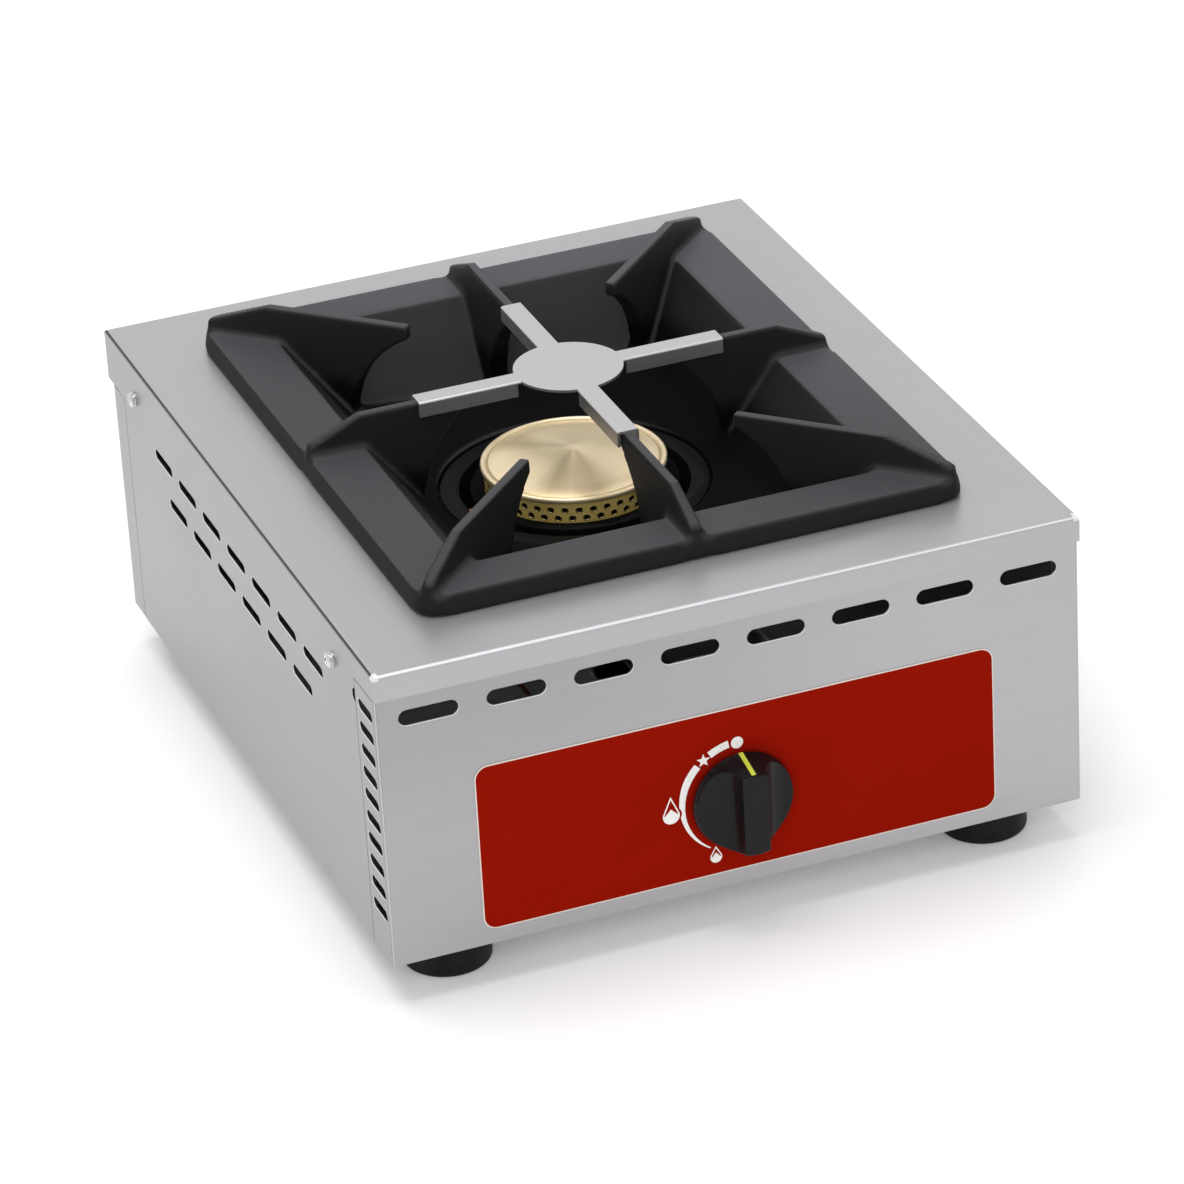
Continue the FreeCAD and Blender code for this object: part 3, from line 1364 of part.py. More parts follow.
def make_cross():
    """The small-pot cross: a disc and four channel arms that sit over the middle fingers."""
    body = new_body("reducer_cross")
    seat = cover_top + S.finger_top
    half = S.cross_arm_width / 2
    disc = new_sketch(body, "XY_Plane", seat)
    draw_circle(disc, ZERO, ZERO, S.cross_disc_radius)
    add_pad(body, disc, S.cross_sheet)
    arm = new_sketch(body, "XY_Plane", seat)
    draw_rectangle(arm, ZERO, S.cross_reach, -half, half)
    features = [add_pad(body, arm, S.cross_sheet)]
    flange_start = S.cross_disc_radius + S.cross_relief
    for near, far in ((-half, S.cross_sheet - half), (half - S.cross_sheet, half)):
        flange = new_sketch(body, "XY_Plane", seat + S.cross_sheet)
        draw_rectangle(flange, flange_start, S.cross_reach, near, far)
        features.append(add_pad(body, flange, S.cross_arm_height, reverse=True))
    around = body.newObject("PartDesign::PolarPattern", "arms")
    around.Originals = features
    around.Axis = (disc, ["N_Axis"])
    around.Angle = 360
    around.Occurrences = 4
    body.Tip = around
    top = seat + S.cross_sheet

    def long_bend(edge):
        straight = edge.Length > (S.cross_reach - flange_start).value - 1e-3
        return straight and level_edge(edge, top) and edge.BoundBox.DiagonalLength > edge.Length - 1e-6

    add_fillet(body, long_bend, S.cross_bend)


def write_parts():
    """Checks every object and writes one file for each sub-part."""
    doc.recompute()
    for item in doc.Objects:
        if "Invalid" in item.State or "Error" in item.State:
            raise RuntimeError(f"{item.Name} failed: {item.State}")
    for label, item in nodes.items():
        if item.Shape.isNull() or not item.Shape.isValid() or not item.Shape.Solids:
            raise RuntimeError(f"{label} has no valid solid")
    os.makedirs("parts", exist_ok=True)
    for label, item in nodes.items():
        item.Shape.exportStep(f"parts/{label}.step")
        box = item.Shape.BoundBox
        print(f"{label}: {len(item.Shape.Solids)} solids, {item.Shape.Volume:.0f} mm3, "
              f"x {box.XMin:.1f} {box.XMax:.1f} y {box.YMin:.1f} {box.YMax:.1f} "
              f"z {box.ZMin:.1f} {box.ZMax:.1f}")


make_cover()
make_front_panel()
make_rear_panel()
make_base()
make_feet()
make_carriers()
make_bowl()
make_burner_body()
make_air_shutter()
make_injector()
make_crown()
make_cap()
make_tap_housing()
make_tap_inside()
make_knob()
make_label()
make_feed()
make_supply()
make_flame_safety()
make_grate()
make_cross()
write_parts()
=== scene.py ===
"""Looks of a single-burner gas table stove: fine shapes, finishes, studio light and camera.

Lengths are in metres unless a name ends in _mm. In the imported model's frame +Z is up and -Y is the front.
"""
import logging
import math
from collections.abc import Callable, Iterator, Sequence
from contextlib import contextmanager
from dataclasses import dataclass, field
from enum import Enum
from typing import Any

import bmesh
import bpy
from mathutils import Matrix, Vector
from mathutils.kdtree import KDTree


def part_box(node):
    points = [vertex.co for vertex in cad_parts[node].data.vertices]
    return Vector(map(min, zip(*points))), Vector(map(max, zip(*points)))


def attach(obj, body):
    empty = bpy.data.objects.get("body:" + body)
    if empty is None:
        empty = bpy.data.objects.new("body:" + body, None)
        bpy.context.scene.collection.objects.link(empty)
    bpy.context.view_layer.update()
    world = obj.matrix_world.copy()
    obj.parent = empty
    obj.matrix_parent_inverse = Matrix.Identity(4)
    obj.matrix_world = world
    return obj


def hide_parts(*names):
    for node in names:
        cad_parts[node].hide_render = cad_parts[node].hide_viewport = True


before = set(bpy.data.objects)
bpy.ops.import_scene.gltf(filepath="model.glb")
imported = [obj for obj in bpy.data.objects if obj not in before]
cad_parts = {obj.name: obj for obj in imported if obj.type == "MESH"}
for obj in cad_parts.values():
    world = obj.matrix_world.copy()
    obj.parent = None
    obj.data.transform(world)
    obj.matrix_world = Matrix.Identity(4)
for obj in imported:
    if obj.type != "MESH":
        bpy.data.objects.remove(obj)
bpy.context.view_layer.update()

LOG = logging.getLogger("stove")
MM = 0.001
Colour = tuple[float, float, float, float]
Point = tuple[float, float]
Triple = tuple[float, float, float]
Piece = bpy.types.Object
BLACK: Colour = (0.0, 0.0, 0.0, 1.0)
WHITE: Colour = (1.0, 1.0, 1.0, 1.0)
MERGE = 0.002 * MM
SLIVER = 0.001 * MM
FLAT = math.radians(0.5)


# Shader maths


def operator(kind: str, flipped: bool = False) -> Callable[["Value", Any], "Value"]:
    """A method for one of Python's operators.

    Args:
        kind: the Math node's operation.
        flipped: whether the value itself comes second.

    Returns:
        The method.
    """

    def method(self: "Value", other: Any) -> "Value":
        """Adds the operator's Math node."""
        return self.math(kind, other, self) if flipped else self.math(kind, self, other)

    return method


class Value:
    """A number on a shader socket, on which Python's operators add Math nodes."""

    __add__ = operator("ADD")
    __radd__ = operator("ADD", flipped=True)
    __sub__ = operator("SUBTRACT")
    __rsub__ = operator("SUBTRACT", flipped=True)
    __mul__ = operator("MULTIPLY")
    __truediv__ = operator("DIVIDE")
    __gt__ = operator("GREATER_THAN")
    __lt__ = operator("LESS_THAN")

    def __init__(self, bench: "Bench", socket: bpy.types.NodeSocket) -> None:
        """Holds the socket and the bench that it belongs to."""
        self.bench = bench
        self.socket = socket

    def math(self, operation: str, *terms: Any) -> "Value":
        """The result of a new Math node, with values or numbers for its sockets in order."""
        return self.bench.node("ShaderNodeMath", {"operation": operation}, dict(enumerate(terms)))

    def output(self, name: int | str) -> "Value":
        """Another output of the same node."""
        return Value(self.bench, self.socket.node.outputs[name])

    def __neg__(self) -> "Value":
        """The same size with the other sign."""
        return self * -1.0

    def __abs__(self) -> "Value":
        """Size without sign."""
        return self.math("ABSOLUTE", self)

    def above_zero(self) -> "Value":
        """The value where it is above zero, else zero."""
        return self.math("MAXIMUM", self, 0.0)

    def root(self) -> "Value":
        """Square root."""
        return self.math("SQRT", self)

    def swing(self, amount: float) -> "Value":
        """How far the value is from one half, times an amount."""
        return (self - 0.5) * amount


def swung(base: Any, swings: Point, first: Value, second: Value) -> Value:
    """A value that two noises swing, each by its own amount."""
    return base + first.swing(swings[0]) + second.swing(swings[1])


class Bench:
    """The node tree of one material, or of the world, in the making."""

    def __init__(self, owner: bpy.types.Material | bpy.types.World, shader: str = "Principled BSDF") -> None:
        """Opens the owner's node tree at its main shader."""
        owner.use_nodes = True
        self.tree = owner.node_tree
        self.shader = self.tree.nodes[shader]

    def feed(self, socket: bpy.types.NodeSocket, term: Any) -> None:
        """Links a value to a socket, or sets the socket to a number or colour."""
        if isinstance(term, Value):
            self.tree.links.new(term.socket, socket)
        else:
            socket.default_value = term

    def node(self, kind: str, settings: dict[str, Any] | None = None,
             sockets: dict[int | str, Any] | None = None, output: int | str = 0) -> Value:
        """Adds any node.

        Args:
            kind: the node's type.
            settings: its properties, set first; "stops" sets a ramp's stops.
            sockets: values, numbers or colours for its inputs.
            output: which output to hand back.

        Returns:
            The chosen output.
        """
        made = self.tree.nodes.new(kind)
        for key, setting in (settings or {}).items():
            if key == "stops":
                elements = made.color_ramp.elements
                while len(elements) < len(setting):
                    elements.new(1.0)
                for element, (position, colour) in zip(elements, setting):
                    element.position = position
                    element.color = colour
            else:
                setattr(made, key, setting)
        for key, term in (sockets or {}).items():
            self.feed(made.inputs[key], term)
        return Value(self, made.outputs[output])

    def place(self, scale: Sequence[float] = (1, 1, 1), move: Sequence[float] = (0, 0, 0)) -> Value:
        """Object coordinates, moved so that a point of the piece is the centre, then scaled.

        Args:
            scale: how many pattern units lie in a metre along each axis.
            move: the point of the object that becomes the centre.

        Returns:
            The coordinates.
        """
        spot = self.node("ShaderNodeTexCoord", output="Object")
        shift = tuple(-part * size for part, size in zip(move, scale))
        return self.node("ShaderNodeMapping", {"vector_type": "POINT"},
                         {"Vector": spot, "Location": shift, "Scale": tuple(scale)})

    def noise(self, spot: Value, detail: float = 2.0, rough: float = 0.5) -> Value:
        """Soft noise between 0 and 1."""
        return self.node("ShaderNodeTexNoise", {"noise_dimensions": "3D"},
                         {"Vector": spot, "Scale": 1.0, "Detail": detail, "Roughness": rough})

    def speckle(self, density: float, detail: float = 2.0, rough: float = 0.5) -> Value:
        """The same noise in every direction, with so many pattern units in a metre."""
        return self.noise(self.place((density, density, density)), detail, rough)

    def facing(self) -> tuple[Value, Value, Value]:
        """The three parts of the surface's direction."""
        return self.axes(self.node("ShaderNodeTexCoord", output="Normal"))

    def axes(self, spot: Value) -> tuple[Value, Value, Value]:
        """The three parts of a vector."""
        first = self.node("ShaderNodeSeparateXYZ", None, {0: spot})
        return first, first.output("Y"), first.output("Z")

    def ramp(self, value: Value, *stops: tuple[float, Colour]) -> Value:
        """A colour ramp over a value."""
        return self.node("ShaderNodeValToRGB", {"stops": stops}, {"Fac": value})

    def rise(self, value: Value, start: float, end: float) -> Value:
        """Zero below the start and one above the end, with a soft change between."""
        return self.node("ShaderNodeMapRange", {"interpolation_type": "SMOOTHSTEP"},
                         {"Value": value, "From Min": start, "From Max": end})

    def blend(self, factor: Any, first: Any, second: Any) -> Value:
        """A mix of two colours."""
        return self.node("ShaderNodeMix", {"data_type": "RGBA"}, {0: factor, 6: first, 7: second}, output=2)

    def bump(self, height: Value, strength: float, depth_mm: float) -> None:
        """Raises the surface by a height map, on the shader's normal."""
        sockets = {"Strength": strength, "Distance": depth_mm * MM, "Height": height}
        self.feed(self.shader.inputs["Normal"], self.node("ShaderNodeBump", None, sockets))

    def set(self, sockets: dict[str, Any]) -> None:
        """Sets or links the main shader's own sockets."""
        for name, term in sockets.items():
            self.feed(self.shader.inputs[name], term)


# Finishes


class Grain(Enum):
    """Which way the brush marks of sheet metal run."""

    SHEET = "along X, and along Y on faces that look sideways"
    ARMS = "along each arm of a cross"


@dataclass(frozen=True)
class Finish:
    """A surface finish with the record's slot that it belongs to."""

    name: str
    slot: str

    def paint(self, bench: Bench) -> None:
        """Builds the finish's nodes on a bench."""
        raise NotImplementedError

    def material(self) -> bpy.types.Material:
        """The finish as a material, made once."""
        made = bpy.data.materials.get(self.name)
        if made is None:
            made = bpy.data.materials.new(self.name)
            made.use_nodes = True
            self.paint(Bench(made))
        return made

    def dress_nodes(self, *names: str) -> None:
        """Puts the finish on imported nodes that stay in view."""
        for name in names:
            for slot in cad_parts[name].material_slots:
                slot.material = self.material()


@dataclass(frozen=True)
class BrushedSteel(Finish):
    """Sheet steel with fine brush marks and a faint cloud from handling.

    A loss is painted shade that takes that part of the tone away, and a gain is painted light.
    A bend, a cut edge or a slot wall has its own share of the tone, as a painted highlight or painted shade.
    A turn is a range in the surface's direction, and a span is a range of places.
    """

    tone: Colour = (0.436, 0.433, 0.446, 1.0)
    roughness: float = 0.36
    grain: Grain = Grain.SHEET
    metal: float = 0.6
    fine_marks: Point = (25.0, 2200.0)
    broad_marks: Point = (5.0, 260.0)
    mark_noise: Point = (3.0, 0.6)
    mark_shares: Point = (0.6, 0.4)
    mark_stops: tuple[Point, ...] = ((0.25, 0.965), (0.75, 1.03))
    sideways: float = 0.7
    cloud: float = 9.0
    gloss_swings: Point = (0.12, 0.10)
    relief: Point = (0.05, 0.05)
    wall_turn: Point = (0.25, 0.6)
    # Painted shade and painted light by face direction and place.
    side_shade: float = 0.23
    front_shade: float = 0.10
    right_light: float = 0.10
    right_span: Point = (-120.0 * MM, 150.0 * MM)
    shade_loss: float = 0.09
    shade_span: Point = (85.0 * MM, 178.0 * MM)
    rim_level: float = 184.3 * MM
    top_turn: Point = (0.7, 0.95)
    top_shade: float = 0.09
    corner_shade: float = 0.05
    corner_span: Point = (50.0 * MM, 420.0 * MM)
    # Shares of the tone for painted highlights and painted shade at cut edges, slot walls and folds.
    cut_edge_highlight: float = 1.6
    cut_turn: Point = (0.08, 0.2)
    flat_turn: float = 0.9
    slot_wall_shade: float = 0.12
    slot_turn: float = 0.3
    slot_wall_start: float = 198.6 * MM
    slot_wall_span: Point = (-229.0 * MM, 222.0 * MM)
    corner_highlight: float = 1.15
    corner_turn: Point = (0.86, 1.0)
    fold_highlight: float = 1.7
    fold_turn: Point = (0.84, 0.995)
    side_fold_shade: float = 0.10
    edge_turn: Point = (0.70, 0.97)
    bend_level: float = 192.0 * MM
    corner_level: float = 197.0 * MM
    bend_start: Point = (196.6 * MM, -229.3 * MM)

    def marks(self, bench: Bench, along: float, across: float) -> Value:
        """Brush marks that run along X on one part of the piece and along Y on the other.

        Args:
            bench: the material in the making.
            along: pattern units in a metre along the marks.
            across: pattern units in a metre across them.

        Returns:
            Noise between 0 and 1, drawn out along the marks.
        """
        over_x = bench.noise(bench.place((along, across, across)), *self.mark_noise)
        over_y = bench.noise(bench.place((across, along, across)), *self.mark_noise)
        if self.grain is Grain.SHEET:
            turned = abs(bench.facing()[0]) > self.sideways
        else:
            x, y, _ = bench.axes(bench.place())
            turned = abs(y) > abs(x)
        return over_x + turned * (over_y - over_x)

    def shaded(self, share: float) -> Colour:
        """The tone times a share."""
        red, green, blue, _ = self.tone
        return red * share, green * share, blue * share, 1.0

    def walls(self, bench: Bench, colour: Value) -> Value:
        """Paints shade on the sides, on the front below its rim and on the top, and painted light towards the
        front's right.

        Args:
            bench: the material in the making.
            colour: the sheet's colour.

        Returns:
            The colour with its painted shade and light.
        """
        x, y, z = bench.facing()
        place_x, place_y, level = bench.axes(bench.place())
        # Painted shade on the sides, on the front below its rim (most just under the rim on the left, least
        # on the right) and on the top (more towards the front left).
        side = bench.rise(abs(x), *self.wall_turn) * self.side_shade
        right = bench.rise(place_x, *self.right_span)
        shade = bench.rise(level, *self.shade_span) * self.shade_loss
        panel = self.front_shade - right * self.right_light + shade * (1.0 - right)
        front = bench.rise(-y, *self.wall_turn) * panel * (level < self.rim_level)
        corner = bench.rise(-(place_x + place_y), *self.corner_span)
        top = bench.rise(z, *self.top_turn) * (corner * self.corner_shade + self.top_shade)
        return bench.blend(side + front + top, colour, BLACK)

    def bends(self, bench: Bench, colour: Value) -> Value:
        """Paints highlights on the front's folds and corners and on the cut edges, and paints shade in slot
        walls and along the top's side folds.

        Args:
            bench: the material in the making.
            colour: the sheet's colour.

        Returns:
            The colour with its painted highlights and painted shade.
        """
        x, y, z = bench.facing()
        place_x, place_y, level = bench.axes(bench.place())
        high = level > self.bend_level
        at_corner = (abs(place_x) > self.bend_start[0]) * (place_y < self.bend_start[1])
        turned = bench.rise(1.0 - x.math("MAXIMUM", abs(x), abs(y)), *self.cut_turn)
        cut = turned * (abs(z) < self.flat_turn) * (1.0 - at_corner) * (1.0 - high)
        in_sheet = (abs(x) < self.slot_turn) * (abs(place_x) > self.slot_wall_start)
        on_side = (place_y > self.slot_wall_span[0]) * (place_y < self.slot_wall_span[1])
        # Painted highlight on cut edges, painted shade in slot walls, painted highlights on the front's
        # corners, its top fold and the top's front corners, and painted shade along the top's side folds.
        layers = (
            (cut, self.cut_edge_highlight),
            (in_sheet * on_side * (level < self.rim_level), self.slot_wall_shade),
            (bench.rise(abs(x) * y * -2.0, *self.corner_turn), self.corner_highlight),
            (bench.rise(y * z * -2.0, *self.fold_turn) * high, self.fold_highlight),
            (bench.rise(abs(x) * z * 2.0, *self.edge_turn) * high, self.side_fold_shade),
            (at_corner * (level > self.corner_level), self.fold_highlight),
        )
        for where, share in layers:
            colour = bench.blend(where, colour, self.shaded(share))
        return colour

    def paint(self, bench: Bench) -> None:
        """Marks in colour, gloss and relief."""
        fine = self.marks(bench, *self.fine_marks)
        broad = self.marks(bench, *self.broad_marks)
        cloud = bench.speckle(self.cloud)
        mark = fine * self.mark_shares[0] + broad * self.mark_shares[1]
        colour = bench.ramp(mark, *((stop, self.shaded(share)) for stop, share in self.mark_stops))
        # Sheets take the painted shade and light of their walls, and the painted highlights and shade of
        # their bends.
        if self.grain is Grain.SHEET:
            colour = self.bends(bench, self.walls(bench, colour))
        bench.set({"Base Color": colour, "Metallic": self.metal,
                   "Roughness": swung(self.roughness, self.gloss_swings, fine, cloud)})
        bench.bump(fine, *self.relief)


@dataclass(frozen=True)
class CastIron(Finish):
    """Black coated casting: fine sand grain, slow swells, painted sheen on upper faces, painted shade low
    down.
    """

    tone: Colour = (0.0165, 0.0161, 0.0166, 1.0)
    # Painted sheen: upward faces high on the casting, paler towards the back right, and slopes that face the
    # front and up.
    top_sheen: Colour = (0.054, 0.053, 0.058, 1.0)
    top_sheen_turn: Point = (0.80, 0.985)
    far_sheen: Colour = (0.078, 0.076, 0.084, 1.0)
    far_sheen_span: Point = (-100.0 * MM, 300.0 * MM)
    slope_sheen: Colour = (0.034, 0.033, 0.034, 1.0)
    slope_sheen_turn: Point = (0.10, 0.42)
    roughness: float = 0.44
    grain_mm: float = 0.9
    sand_noise: Point = (3.0, 0.6)
    swell: float = 38.0
    gloss: float = 1.14
    gloss_swings: Point = (0.16, 0.10)
    sheen_swing: float = 0.06
    shade_level_swing: float = 0.01
    relief_shares: Point = (0.7, 2.0)
    relief: Point = (0.20, 0.10)
    sheen_level: float = 205.0 * MM
    # Painted shade low down, with a matte gloss there.
    painted_shade: Colour = (0.0030, 0.0029, 0.0029, 1.0)
    shade_levels: Point = (184.0 * MM, 199.0 * MM)
    shade_roughness: float = 0.92

    def paint(self, bench: Bench) -> None:
        """Grain in relief and gloss; swells, painted sheen and painted shade in colour."""
        sand = bench.speckle(1.0 / (self.grain_mm * MM), *self.sand_noise)
        swell = bench.speckle(self.swell)
        _, forward, upward = bench.facing()
        x, y, level = bench.axes(bench.place())
        # Painted sheen: upward faces above the sheen level turn paler, more so towards the back right.
        sheen_mask = bench.rise(upward + swell.swing(self.sheen_swing), *self.top_sheen_turn)
        sheen_mask = sheen_mask * (level > self.sheen_level)
        # Painted shade: below the shade levels the casting turns near-black and matte.
        unshaded = bench.rise(level + swell.swing(self.shade_level_swing), *self.shade_levels)
        # Painted sheen on slopes that face the front and up.
        slope = bench.rise(-(forward * upward), *self.slope_sheen_turn)
        plain = bench.blend(slope, bench.blend(unshaded, self.painted_shade, self.tone), self.slope_sheen)
        sheen_tone = bench.blend(bench.rise(x + y, *self.far_sheen_span), self.top_sheen, self.far_sheen)
        rough = self.shade_roughness - unshaded * (self.shade_roughness - self.roughness)
        bench.set({"Base Color": bench.blend(sheen_mask, plain, sheen_tone), "IOR": self.gloss,
                   "Roughness": swung(rough, self.gloss_swings, sand, swell)})
        bench.bump(sand * self.relief_shares[0] + swell * self.relief_shares[1], *self.relief)


@dataclass(frozen=True)
class Speckled(Finish):
    """A surface of two tones mixed by noise, with a grain in relief.

    A noise has its density, detail and roughness. The stops say where the noise shows each tone alone.
    """

    tones: tuple[Colour, Colour]
    noise: Triple
    stops: Point = (0.0, 1.0)
    roughness: float = 0.3
    swing: float = 0.2
    metal: float = 0.0
    gloss: float = 1.5
    shine: float = 0.5
    grain: Triple = (1500.0, 2.0, 0.5)
    relief: Point = (0.0, 0.05)
    grain_in_gloss: bool = False

    def paint(self, bench: Bench) -> None:
        """Noise in colour, grain in relief, and either of them in the gloss."""
        noise = bench.speckle(*self.noise)
        grain = bench.speckle(*self.grain)
        followed = grain if self.grain_in_gloss else noise
        bench.set({"Base Color": bench.ramp(noise, *zip(self.stops, self.tones)), "Metallic": self.metal,
                   "Roughness": followed.swing(self.swing) + self.roughness, "IOR": self.gloss,
                   "Specular IOR Level": self.shine})
        bench.bump(grain, *self.relief)


@dataclass(frozen=True)
class SpunBrass(Finish):
    """Brass turned on a lathe: fine rings, a soft cloud, and the fan of light that turning gives, as painted
    reflection.

    The reflection fan gives the depth of painted shade at each part of a full turn, and the lip's groove
    takes painted shade.
    """

    tone: Colour = (0.92, 0.76, 0.51, 1.0)
    deep: Colour = (0.47, 0.37, 0.19, 1.0)
    roughness: float = 0.36
    metal: float = 0.6
    ring_scale: Point = (1800.0, 300.0)
    ring_noise: Point = (3.0, 0.6)
    cloud: Point = (30.0, 3.0)
    shade_swings: Point = (0.25, 0.20)
    gloss_swings: Point = (0.14, 0.10)
    relief: Point = (0.10, 0.03)
    apex: Point = (0.5 * MM, 6.0 * MM)
    groove: Point = (47.7 * MM, 48.9 * MM)
    groove_shade: float = 1.2
    reflection_fan: tuple[Point, ...] = (
        (0.0, 0.12), (0.09, 0.08), (0.14, 0.55), (0.185, 0.12), (0.25, 0.55), (0.31, 0.12),
        (0.52, 0.06), (0.62, 0.16), (0.80, 0.06), (0.862, 0.62), (0.91, 0.14), (1.0, 0.12))

    def paint(self, bench: Bench) -> None:
        """Rings round the Z axis, darker rays of painted reflection that fan out from it, and painted shade
        in the lip's groove.
        """
        x, y, z = bench.axes(bench.place())
        radius = (x * x + y * y).root()
        turn = x.math("ARCTAN2", y, x) / math.tau + 0.5
        rays = bench.ramp(turn, *((spot, (shade, shade, shade, 1.0)) for spot, shade in self.reflection_fan))
        reflection_fan = bench.axes(rays)[0] * bench.rise(radius, *self.apex)
        ring_spot = bench.node("ShaderNodeCombineXYZ", None,
                               {"X": radius * self.ring_scale[0], "Y": z * self.ring_scale[1]})
        rings = bench.noise(ring_spot, *self.ring_noise)
        cloud = bench.speckle(*self.cloud)
        # Painted shade in the lip's groove.
        groove = (radius > self.groove[0]) * (radius < self.groove[1]) * self.groove_shade
        shade = swung(reflection_fan, self.shade_swings, rings, cloud) + groove
        bench.set({"Base Color": bench.blend(shade, self.tone, self.deep), "Metallic": self.metal,
                   "Roughness": swung(self.roughness, self.gloss_swings, rings, cloud)})
        bench.bump(rings, *self.relief)


@dataclass(frozen=True)
class PortedBrass(Finish):
    """The drilled flame ring: deeper gold, upright draw marks, heat tint at its foot, painted shade in its
    ports.
    """

    tone: Colour = (0.90, 0.68, 0.21, 1.0)
    tint: Colour = (0.66, 0.46, 0.11, 1.0)
    # Painted shade for the ports and the ring's inner faces.
    painted_shade: Colour = (0.030, 0.016, 0.007, 1.0)
    roughness: float = 0.34
    metal: float = 0.4
    draw_marks: Triple = (150.0, 150.0, 6.0)
    heat: float = 0.55
    heat_swing: float = 0.9
    heat_stops: Point = (0.05, 0.75)
    gloss_swing: float = 0.14
    foot_loss: float = 0.08
    relief: Point = (0.10, 0.05)
    foot: float = 158.5 * MM
    height: float = 14.0 * MM
    face_radius: float = 50.1 * MM

    def paint(self, bench: Bench) -> None:
        """Upright marks, and a tint that fades upwards."""
        marks = bench.noise(bench.place(self.draw_marks))
        x, y, z = bench.axes(bench.place((1, 1, 1 / self.height), (0, 0, self.foot)))
        low = (1.0 - z).above_zero()
        heat = low * self.heat + marks.swing(self.heat_swing)
        gold = bench.ramp(heat, *zip(self.heat_stops, (self.tone, self.tint)))
        # Inside the face radius, in the ports and on the inner faces, the colour is painted shade.
        face = (x * x + y * y).root() > self.face_radius
        bench.set({"Base Color": bench.blend(face, self.painted_shade, gold), "Metallic": self.metal,
                   "Roughness": self.roughness + marks.swing(self.gloss_swing) + low * self.foot_loss})
        bench.bump(marks, *self.relief)


@dataclass(frozen=True)
class MachinedMetal(Speckled):
    """Turned or drawn metal of the gas fittings, nuts, pipes and screws, with small scuffs."""

    noise: Triple = (160.0, 4.0, 0.65)
    stops: Point = (0.3, 0.65)
    metal: float = 1.0
    relief: Point = (0.08, 0.05)


@dataclass(frozen=True)
class MouldedPlastic(Speckled):
    """Moulded plastic with a fine spark-eroded texture."""

    noise: Triple = (70.0, 2.0, 0.5)
    swing: float = 0.14
    gloss: float = 1.28
    grain: Triple = (2600.0, 2.0, 0.5)
    relief: Point = (0.10, 0.05)
    grain_in_gloss: bool = True


@dataclass(frozen=True)
class ZincSheet(Finish):
    """Zinc-plated sheet with its patchwork of crystals."""

    tone: Colour = (0.42, 0.43, 0.44, 1.0)
    dull: Colour = (0.30, 0.31, 0.32, 1.0)
    crystals: Triple = (110.0, 110.0, 110.0)
    roughness: float = 0.36
    patch_gain: float = 0.18

    def paint(self, bench: Bench) -> None:
        """Crystals in colour and gloss."""
        cells = bench.node("ShaderNodeTexVoronoi", {"feature": "F1"},
                           {"Vector": bench.place(self.crystals), "Scale": 1.0}, output="Color")
        patch = bench.axes(cells)[0]
        bench.set({"Base Color": bench.blend(patch, self.dull, self.tone), "Metallic": 1.0,
                   "Roughness": patch * self.patch_gain + self.roughness})


@dataclass(frozen=True)
class PrintedPlate(Finish):
    """A plate printed red, with a thin pale line left bare round its edge."""

    tone: Colour = (0.285, 0.0080, 0.0022, 1.0)
    deep: Colour = (0.262, 0.0066, 0.0018, 1.0)
    line: Colour = (0.72, 0.66, 0.60, 1.0)
    centre: Triple = (0.0, -232.8 * MM, 83.2 * MM)
    half_width: float = 148.5 * MM
    half_height: float = 49.5 * MM
    corner: float = 8.0 * MM
    line_width: float = 0.75 * MM
    peel: float = 700.0
    cloud: float = 26.0
    roughness: float = 0.42
    swing: float = 0.10
    relief: Point = (0.05, 0.05)

    def paint(self, bench: Bench) -> None:
        """The line follows the distance from the plate's rounded outline."""
        x, _, z = bench.axes(bench.place(move=self.centre))
        over = abs(x) - (self.half_width - self.corner)
        up = abs(z) - (self.half_height - self.corner)
        out_x, out_z = over.above_zero(), up.above_zero()
        inside = over.math("MINIMUM", over.math("MAXIMUM", over, up), 0.0)
        edge = (out_x * out_x + out_z * out_z).root() + inside > self.corner - self.line_width
        peel = bench.speckle(self.peel)
        red = bench.blend(bench.speckle(self.cloud), self.deep, self.tone)
        bench.set({"Base Color": bench.blend(edge, red, self.line), "Specular IOR Level": 0.0,
                   "Roughness": peel.swing(self.swing) + self.roughness})
        bench.bump(peel, *self.relief)


@dataclass(frozen=True)
class PaleFloor(Finish):
    """The studio's white floor, faintly uneven."""

    tone: Colour = (0.90, 0.90, 0.90, 1.0)
    uneven: Colour = (0.891, 0.891, 0.891, 1.0)
    cloud: float = 40.0
    roughness: float = 0.8
    glow: float = 0.12

    def paint(self, bench: Bench) -> None:
        """A little light of its own keeps it white away from the shadow."""
        bench.set({"Base Color": bench.blend(bench.speckle(self.cloud), self.uneven, self.tone),
                   "Roughness": self.roughness, "Specular IOR Level": 0.0,
                   "Emission Color": WHITE, "Emission Strength": self.glow})


STEEL = BrushedSteel("brushed_sheet", "stainless")
CROSS_STEEL = BrushedSteel("brushed_cross", "stainless", (0.50, 0.495, 0.50, 1.0), 0.32, Grain.ARMS, 0.85)
IRON = CastIron("satin_casting", "cast_iron")
